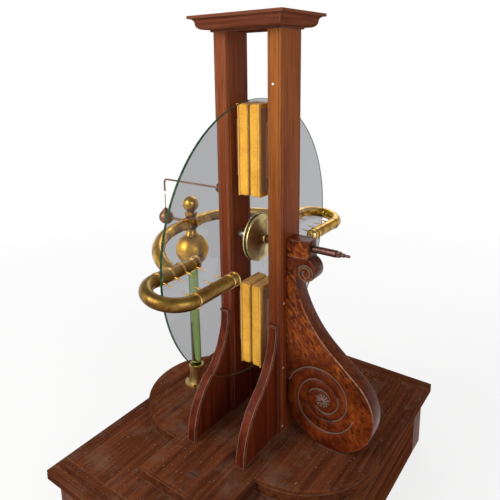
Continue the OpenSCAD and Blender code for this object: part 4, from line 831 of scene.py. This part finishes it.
def hem_strips(outer, rear, sizes):
    """Four mitred strips of leather turned over the edges of the back board, round the origin."""
    wide, tall = outer
    thick, hem = sizes.hem_thick, sizes.hem
    # Section from the pad's rear arris to the strip's inner edge: inset and height
    section = [(1.4 * MM, rear - 2 * MM), (1.5 * MM, rear + 0.2 * thick), (2.4 * MM, rear + thick),
               (hem / 2, rear + 1.15 * thick), (hem - 1 * MM, rear + thick), (hem, rear + 0.6 * thick),
               (hem, rear - 0.5 * MM)]
    vertices, faces = [], []
    steps, rows = 13, len(section)
    for side in range(4):
        half_run, half_off = (tall / 2, wide / 2) if side % 2 == 0 else (wide / 2, tall / 2)
        across, along = math.cos(math.radians(90 * side)), math.sin(math.radians(90 * side))
        base = len(vertices)
        for share in np.linspace(-1, 1, steps):
            for inset, x in section:
                y, z = half_off - inset, (half_run - inset - 0.25 * MM) * share
                vertices.append((x, y * across - z * along, y * along + z * across))
        faces += quads(steps, rows, base)
        faces.append([base + j for j in range(rows)][::-1])
        faces.append([base + (steps - 1) * rows + j for j in range(rows)])
    return np.array(vertices), faces


def leaf(low, high, thick):
    """A bowed spring strip whose ends stand on the high side and whose crown meets the low side."""
    reach = high.z - low.z
    rise = high.x - low.x - thick
    vertices, steps = [], 33
    for share in np.linspace(-1, 1, steps):
        x = low.x + rise * share * share
        z = (low.z + high.z) / 2 + reach / 2 * share
        narrow = 1 - 0.12 * share ** 8
        left, right = low.y * narrow, high.y * narrow
        vertices += [(x, left, z), (x, right, z), (x + thick, right, z), (x + thick, left, z)]
    last = 4 * (steps - 1)
    faces = quads(steps, 4) + [[3, 2, 1, 0], [last, last + 1, last + 2, last + 3]]
    return np.array(vertices), faces


def domed_nails(places, radius, rise):
    """Round nail heads: each place is a point and the direction its head faces."""
    vertices, faces = [], []
    sides, rings = 12, 4
    for point, facing in places:
        turn = Vector(facing).to_track_quat("Z", "Y").to_matrix()
        base = len(vertices)
        for ring in range(rings):
            tilt = math.pi / 2 * ring / rings
            for side in range(sides):
                a = 2 * math.pi * side / sides
                out = radius * math.cos(tilt)
                spot = Vector((out * math.cos(a), out * math.sin(a), rise * math.sin(tilt) - NAIL_SUNK))
                vertices.append(Vector(point) + turn @ spot)
        vertices.append(Vector(point) + turn @ Vector((0, 0, rise - NAIL_SUNK)))
        ring, top = base + (rings - 1) * sides, len(vertices) - 1
        faces += quads(rings, sides, base)
        faces += [[ring + s, ring + (s + 1) % sides, top] for s in range(sides)]
        faces.append([base + s for s in range(sides)][::-1])
    return vertices, faces


def rim_band():
    """A thin band round the disc's edge, with eased arrises, that stands a hair proud of the glass."""
    low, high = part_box("glass_plate")
    middle, half = (low + high) / 2, (high.x - low.x) / 2
    inner, outer = (high.y - low.y) / 2 - RIM_DEEP, (high.y - low.y) / 2 + RIM_PROUD
    section = [(inner, -half - RIM_PROUD), (outer - RIM_EASED, -half - RIM_PROUD), (outer, RIM_EASED - half),
               (outer, half - RIM_EASED), (outer - RIM_EASED, half + RIM_PROUD), (inner, half + RIM_PROUD)]
    vertices, steps = [], 180
    for i in range(steps):
        a = 2 * math.pi * i / steps
        vertices += [(middle.x + x, middle.y + r * math.cos(a), middle.z + r * math.sin(a))
                     for r, x in section]
    return vertices, quads(steps, len(section), loop=True)


class MACHINE_OT_stage(Operator):
    """Lays the floor, hangs the lamps and sets the camera"""
    bl_idname = "plate_machine.stage"
    bl_label = "Stage"

    def execute(self, context):
        scene, looks = context.scene, context.scene.plate_machine.stage
        scene.view_settings.view_transform = "Standard"
        camera = bpy.data.cameras.new("photo_view")
        camera.sensor_width = 36.0
        camera.lens = looks.lens
        camera.shift_x, camera.shift_y = CAMERA_SHIFT
        camera.clip_end = 50.0
        eye = bpy.data.objects.new("photo_view", camera)
        scene.collection.objects.link(eye)
        around, above, roll = (math.radians(a) for a in CAMERA_TURN)
        behind = Vector((math.sin(around) * math.cos(above), -math.cos(around) * math.cos(above),
                         math.sin(above)))
        right = Vector((math.cos(around), math.sin(around), 0.0))
        up = behind.cross(right)
        across = right * math.cos(roll) + up * math.sin(roll)
        upright = up * math.cos(roll) - right * math.sin(roll)
        turn = Matrix((across, upright, behind)).transposed().to_4x4()
        eye.matrix_world = Matrix.Translation(CAMERA_PLACE) @ turn
        scene.camera = eye
        self.light_room(scene, looks)
        self.lay_floor(scene, looks)
        aim = Vector((0.0, 0.0, 0.6))
        for name, place, size in LAMPS:
            lamp = bpy.data.lights.new(name, "AREA")
            lamp.size = size
            lamp.energy = getattr(looks, name)
            hung = bpy.data.objects.new(name, lamp)
            scene.collection.objects.link(hung)
            hung.location = place
            hung.rotation_euler = (aim - Vector(place)).to_track_quat("-Z", "Y").to_euler()
        return {"FINISHED"}

    def light_room(self, scene, looks):
        """A room that is white where it is seen or mirrored, dim overhead, and grey through glass."""
        world = bpy.data.worlds.new("room")
        scene.world = world
        world.use_nodes = True
        t = world.node_tree
        t.nodes.clear()
        rays = add(t, "LightPath")
        even = [looks.ambient] * 3 + [1.0]
        # Metal mirrors the white backdrop, and above it a dim ceiling round the lamps
        climb = add(t, "SeparateXYZ", {0: add(t, "TexCoord").outputs["Generated"]}).outputs["Z"]
        low = add(t, "MapRange", {"Value": climb, "From Min": 0.5, "From Max": 0.05})
        mirrored = add(t, "Mix", {FACTOR: low, FIRST: looks.ceiling, SECOND: WHITE}, data_type="RGBA")
        colour = even
        for ray, shade in (("Glossy", mirrored), ("Camera", WHITE), ("Transmission", looks.behind_glass)):
            colour = add(t, "Mix", {FACTOR: rays.outputs[f"Is {ray} Ray"], FIRST: colour, SECOND: shade},
                         data_type="RGBA")
        add(t, "OutputWorld", {"Surface": add(t, "Background", {"Color": colour})})

    def lay_floor(self, scene, looks):
        """A wide pale floor that keeps the shadow and runs into the white of the room."""
        bpy.ops.mesh.primitive_grid_add(x_subdivisions=8, y_subdivisions=8, size=40.0)
        floor = bpy.context.object
        floor.name = "floor"
        made, t = blank("pale_floor")
        rays = add(t, "LightPath")
        seen = add(t, "Math", {0: rays.outputs["Is Camera Ray"], 1: rays.outputs["Is Glossy Ray"]},
                   operation="ADD", use_clamp=True)
        # The floor runs from its own colour at the machine to the white of the room two metres off
        place = add(t, "TexCoord").outputs["Object"]
        reach = add(t, "VectorMath", {0: place}, operation="LENGTH").outputs["Value"]
        share = add(t, "MapRange", {"Value": reach, "From Min": 0.7, "From Max": 2.4, "To Min": 0.78})
        seen = add(t, "Math", {0: seen, 1: share}, operation="MULTIPLY")
        through = rays.outputs["Is Transmission Ray"]
        share = add(t, "Math", {0: seen, 1: through}, operation="MAXIMUM")
        glow = add(t, "Mix", {FACTOR: through, FIRST: WHITE, SECOND: looks.behind_glass},
                   data_type="RGBA")
        matt = add(t, "BsdfPrincipled", {"Base Color": looks.floor, "Roughness": 0.9})
        light = add(t, "Emission", {"Color": glow})
        add(t, "OutputMaterial", {"Surface": add(t, "MixShader", {0: share, 1: matt, 2: light})})
        floor.data.materials.append(made)


class MACHINE_OT_posts(Operator):
    """Finishes the posts, their foot brackets and the cornice, and drives the nails"""
    bl_idname = "plate_machine.posts"
    bl_label = "Posts and cornice"

    def execute(self, context):
        looks = context.scene.plate_machine.wood
        metals = context.scene.plate_machine.metal
        coat(wood("mahogany_crank_post", looks.post_light, looks.post_dark, Z, looks, painted_light=NEAR_PAINTED_LIGHT),
             "crank_post")
        # The far post and the brackets get more of the pale arris, which is wear and a painted highlight
        coat(wood("mahogany_conductor_post", looks.conductor_light, looks.post_dark, Z, looks,
                  painted_light=FAR_PAINTED_LIGHT, wear_and_highlight=1.1), "conductor_post")
        brackets = [f"{side}_{end}_bracket" for side in ("crank", "conductor") for end in ("front", "back")]
        coat(wood("mahogany_bracket", looks.bracket_light, looks.bracket_dark, Z, looks, wear_and_highlight=1.6),
             *brackets)
        coat(wood("mahogany_cornice", looks.cornice_light, looks.cornice_dark, X + Y, looks, dusty=0.35),
             "neck_board", "cornice")
        ease(looks.arris, *brackets, "neck_board", "cornice")
        # Nails driven flush into the crank post: tinned heads, and two sunk ones that have gone dark
        front, right = (0, -1, 0), (1, 0, 0)
        low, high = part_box("crank_post")
        tinned = [((high.x, y * MM, z * MM), right) for y, z in SIDE_NAILS]
        tinned += [((x * MM, low.y, z * MM), front) for x, z in FRONT_NAILS]
        sunk = [((x * MM, low.y, z * MM), front) for x, z in SUNK_NAILS]
        for name, places, shade in (("tinned_nails", tinned, metals.nail),
                                    ("sunk_nails", sunk, metals.iron)):
            finish = metal(f"{name}_iron", shade, None, metals.patch, 0.3)
            piece(name, *domed_nails(places, NAIL_R, NAIL_RISE), finish, "frame", "collar_steel")
        return {"FINISHED"}


class MACHINE_OT_plinth(Operator):
    """Finishes the plinth, the base board with its lobes, and the pegs and screws that hold them"""
    bl_idname = "plate_machine.plinth"
    bl_label = "Base and plinth"

    def execute(self, context):
        looks = context.scene.plate_machine
        light, dark = looks.wood.board_light, looks.wood.board_dark
        along_y = wood("dusty_mahogany_length", light, dark, Y, looks.wood, dusty=0.3, wear_and_highlight=0.3)
        along_x = wood("dusty_mahogany_cross", light, dark, X, looks.wood, dusty=0.3, wear_and_highlight=0.3)
        upright = wood("dusty_mahogany_stile", light, dark, Z, looks.wood, wear_and_highlight=0.3)
        coat(along_y, "base_board", "crank_lobe", "conductor_lobe", "plinth_top", "plinth_side_aprons")
        coat(along_x, "plinth_clamps", "plinth_end_aprons")
        coat(upright, "plinth_stiles")
        coat(wood("end_grain_pegs", looks.wood.board_dark, looks.wood.pore, X, looks.wood), "clamp_pegs")
        coat(metal("browned_iron_screws", looks.metal.screw, looks.metal.iron, looks.metal.patch, 0.5),
             "hold_down_screws")
        ease(looks.wood.arris, "base_board", "crank_lobe", "conductor_lobe", "plinth_top", "plinth_clamps",
             "plinth_stiles", "plinth_side_aprons", "plinth_end_aprons")
        return {"FINISHED"}


class MACHINE_OT_scroll(Operator):
    """Carves the scroll bracket that carries the end of the shaft"""
    bl_idname = "plate_machine.scroll"
    bl_label = "Scroll bracket"

    def execute(self, context):
        looks = context.scene.plate_machine
        made = carve_scroll(looks.carving, burl("burl_walnut_carved", looks.wood))
        low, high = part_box("scroll_bush")
        axis = (low + high) / 2
        lip, gap, past = 2 * MM, 0.1 * MM, 5 * MM
        bore(made, (low.x - past, axis.y, axis.z), (high.x + past, axis.y, axis.z),
             (high.z - low.z) / 2 - lip + gap)
        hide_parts("scroll_bracket")
        return {"FINISHED"}


class MACHINE_OT_plate(Operator):
    """Finishes the glass disc, its hub and the shaft with its bearings"""
    bl_idname = "plate_machine.plate"
    bl_label = "Disc and shaft"

    def execute(self, context):
        looks = context.scene.plate_machine
        shades, patch = looks.metal, looks.metal.patch
        coat(plate_glass("cast_plate_glass", looks.glass), "glass_plate")
        piece("ground_rim", *rim_band(), ground_glass("ground_glass_rim", looks.glass),
              "rotor", "plate_glass")
        coat(metal("spun_brass_hub", shades.hub, shades.brass_brown, patch, 0.34, spun=0.7),
             "crank_hub_flange", "conductor_hub_flange")
        coat(leather("oiled_leather_washers", looks.leather.washer, looks.leather.washer,
                     looks.leather.washer, looks.leather), "hub_washers")
        coat(metal("turned_steel_collars", shades.steel, shades.iron, patch, 0.34), "shaft_collars")
        coat(metal("browned_iron_shaft", shades.iron, shades.iron_dark, patch, 0.42), "shaft")
        coat(metal("turned_bearing_bronze", shades.bronze, shades.brass_brown, patch, 0.36),
             "crank_post_bush", "conductor_post_bush")
        coat(metal("oiled_bearing_bronze", shades.bush, shades.iron, patch, 0.45), "scroll_bush")
        return {"FINISHED"}


class MACHINE_OT_rubbers(Operator):
    """Stuffs and covers the four rubbers, and sets a leaf spring behind each"""
    bl_idname = "plate_machine.rubbers"
    bl_label = "Rubbers"

    def execute(self, context):
        looks = context.scene.plate_machine
        sizes = looks.leather
        cover = leather("tanned_leather_yellow", sizes.light, sizes.dark, sizes.worn, sizes)
        strip = metal("rolled_spring_brass", looks.metal.brass, looks.metal.brass_brown,
                      looks.metal.patch, 0.32)
        board = wood("bare_beech_board", looks.wood.rubber_light, looks.wood.rubber_dark, Z, looks.wood)
        low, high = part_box("upper_crank_cushion")
        spring_low, spring_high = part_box("upper_crank_spring")
        middle = (low + high) / 2
        wide, tall = high.y - low.y, high.z - low.z
        # The board's rear face, where the cleat starts, and the pad's depth to just inside it
        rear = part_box("upper_crank_back")[0].x + BACK_THICK
        depth = rear - PAD_GAP - low.x
        shell = pad_shell(depth - PAD_GAP, wide - PAD_SLACK, tall - PAD_SLACK, PAD_ROUND, PAD_ROUND)
        trial = piece("trial_pad", *shell, cover, "upper_crank_rubber", "yellow_leather")
        trial.parent = None
        form = inflate(trial, sizes.voxel, sizes.swell)
        pad_faces = [list(f.vertices) for f in trial.data.polygons]
        bpy.data.objects.remove(trial)
        # The pad stays within its node's box, a hair off the face that meets the glass
        form[:, 0] = form[:, 0].clip(0.1 * MM, depth)
        form[:, 1] = form[:, 1].clip(-wide / 2, wide / 2)
        form[:, 2] = form[:, 2].clip(-tall / 2, tall / 2)
        hems, hem_faces = hem_strips((wide, tall), rear - low.x, sizes)
        for level in ("upper", "lower"):
            for side, sign in (("crank", 1), ("conductor", -1)):
                name = f"{level}_{side}"
                node_low, node_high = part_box(f"{name}_cushion")
                centre = (node_low.z + node_high.z) / 2
                seat = np.array((low.x, 0.0, centre))
                flip = np.array((sign, 1.0, 1.0))
                faces = [f[::sign] for f in pad_faces]
                pad = piece(f"{name}_leather_pad", (form + seat) * flip, faces, cover,
                            f"{name}_rubber", "yellow_leather", sharp=180)
                smooth = pad.modifiers.new("smooth", "SUBSURF")
                smooth.levels = smooth.render_levels = 1
                settle(pad)
                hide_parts(f"{name}_cushion")
                piece(f"{name}_leather_hem", (hems + seat) * flip, [f[::sign] for f in hem_faces],
                      cover, f"{name}_rubber", "yellow_leather")
                spring, spring_faces = leaf(spring_low, spring_high, STRIP_THICK)
                spring[:, 2] += centre - middle.z
                bowed = piece(f"{name}_leaf_spring", spring * flip, [f[::sign] for f in spring_faces],
                              strip, "frame", "spring_brass")
                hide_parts(f"{name}_spring")
                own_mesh(bowed)
                coat(board, f"{name}_back")
        return {"FINISHED"}


class MACHINE_OT_conductor(Operator):
    """Finishes the brass conductor, its combs and its glass column"""
    bl_idname = "plate_machine.conductor"
    bl_label = "Conductor"

    def execute(self, context):
        looks = context.scene.plate_machine
        shades = looks.metal
        coat(column_glass("drawn_green_glass", looks.glass), "glass_column")
        # Each finish: name, bright and dull colours, roughness, how much painted shade darkens its downward
        # faces, and nodes
        for name, bright, dull, rough, under, nodes in (
                ("spun_brass_conductor", shades.brass, shades.brass_brown, 0.22, 0.6,
                 ("ball_neck", "tee_ball", "finial", "arc_tube", "front_comb_points", "back_comb",
                  "back_comb_points")),
                ("turned_brass_foot", shades.hub, shades.brass, 0.3, 0.0, ("column_foot",)),
                ("brushed_brass_ball", shades.brass, shades.brass_brown, 0.4, 0.25, ("large_ball",)),
                ("rubbed_brass_rings", shades.ring, shades.brass, 0.25, 0.0,
                 ("front_comb_fittings", "back_comb_fittings")),
                ("drawn_brass_tube", shades.tube, shades.brass_brown, 0.28, 0.6, ("front_comb",)),
                ("browned_brass_rods", shades.rod, shades.iron, 0.36, 0.4,
                 ("side_rod", "side_ball", "needle", "rod_boss", "earth_rod")),
                ("browned_brass_screws", shades.brass_brown, shades.iron, 0.4, 0.0, ("foot_screws",))):
            coat(metal(name, bright, dull, shades.patch, rough, under), *nodes)
        return {"FINISHED"}


OPERATORS = (MACHINE_OT_stage, MACHINE_OT_posts, MACHINE_OT_plinth, MACHINE_OT_scroll, MACHINE_OT_plate,
             MACHINE_OT_rubbers, MACHINE_OT_conductor)


class MACHINE_PT_pieces(Panel):
    """Lists the pieces to finish and what may be changed about them"""
    bl_idname = "MACHINE_PT_pieces"
    bl_label = "Plate friction machine"
    bl_space_type = "VIEW_3D"
    bl_region_type = "UI"
    bl_category = "Machine"

    def draw(self, context):
        for operator in OPERATORS:
            self.layout.operator(operator.bl_idname)
        looks = context.scene.plate_machine
        for group in (looks.wood, looks.metal, looks.glass, looks.leather, looks.carving, looks.stage):
            box = self.layout.box()
            for name in group.__annotations__:
                box.prop(group, name)


CLASSES = (WoodFinish, MetalFinish, GlassFinish, LeatherFinish, ScrollCarving, StudioStage,
           PlateMachine) + OPERATORS + (MACHINE_PT_pieces,)


def register():
    for made in CLASSES:
        bpy.utils.register_class(made)
    bpy.types.Scene.plate_machine = PointerProperty(type=PlateMachine)


def unregister():
    del bpy.types.Scene.plate_machine
    for made in reversed(CLASSES):
        bpy.utils.unregister_class(made)


def main():
    register()
    pieces = bpy.ops.plate_machine
    for step in (pieces.stage, pieces.posts, pieces.plinth, pieces.scroll, pieces.plate, pieces.rubbers,
                 pieces.conductor):
        step()


if __name__ == "__main__":
    main()
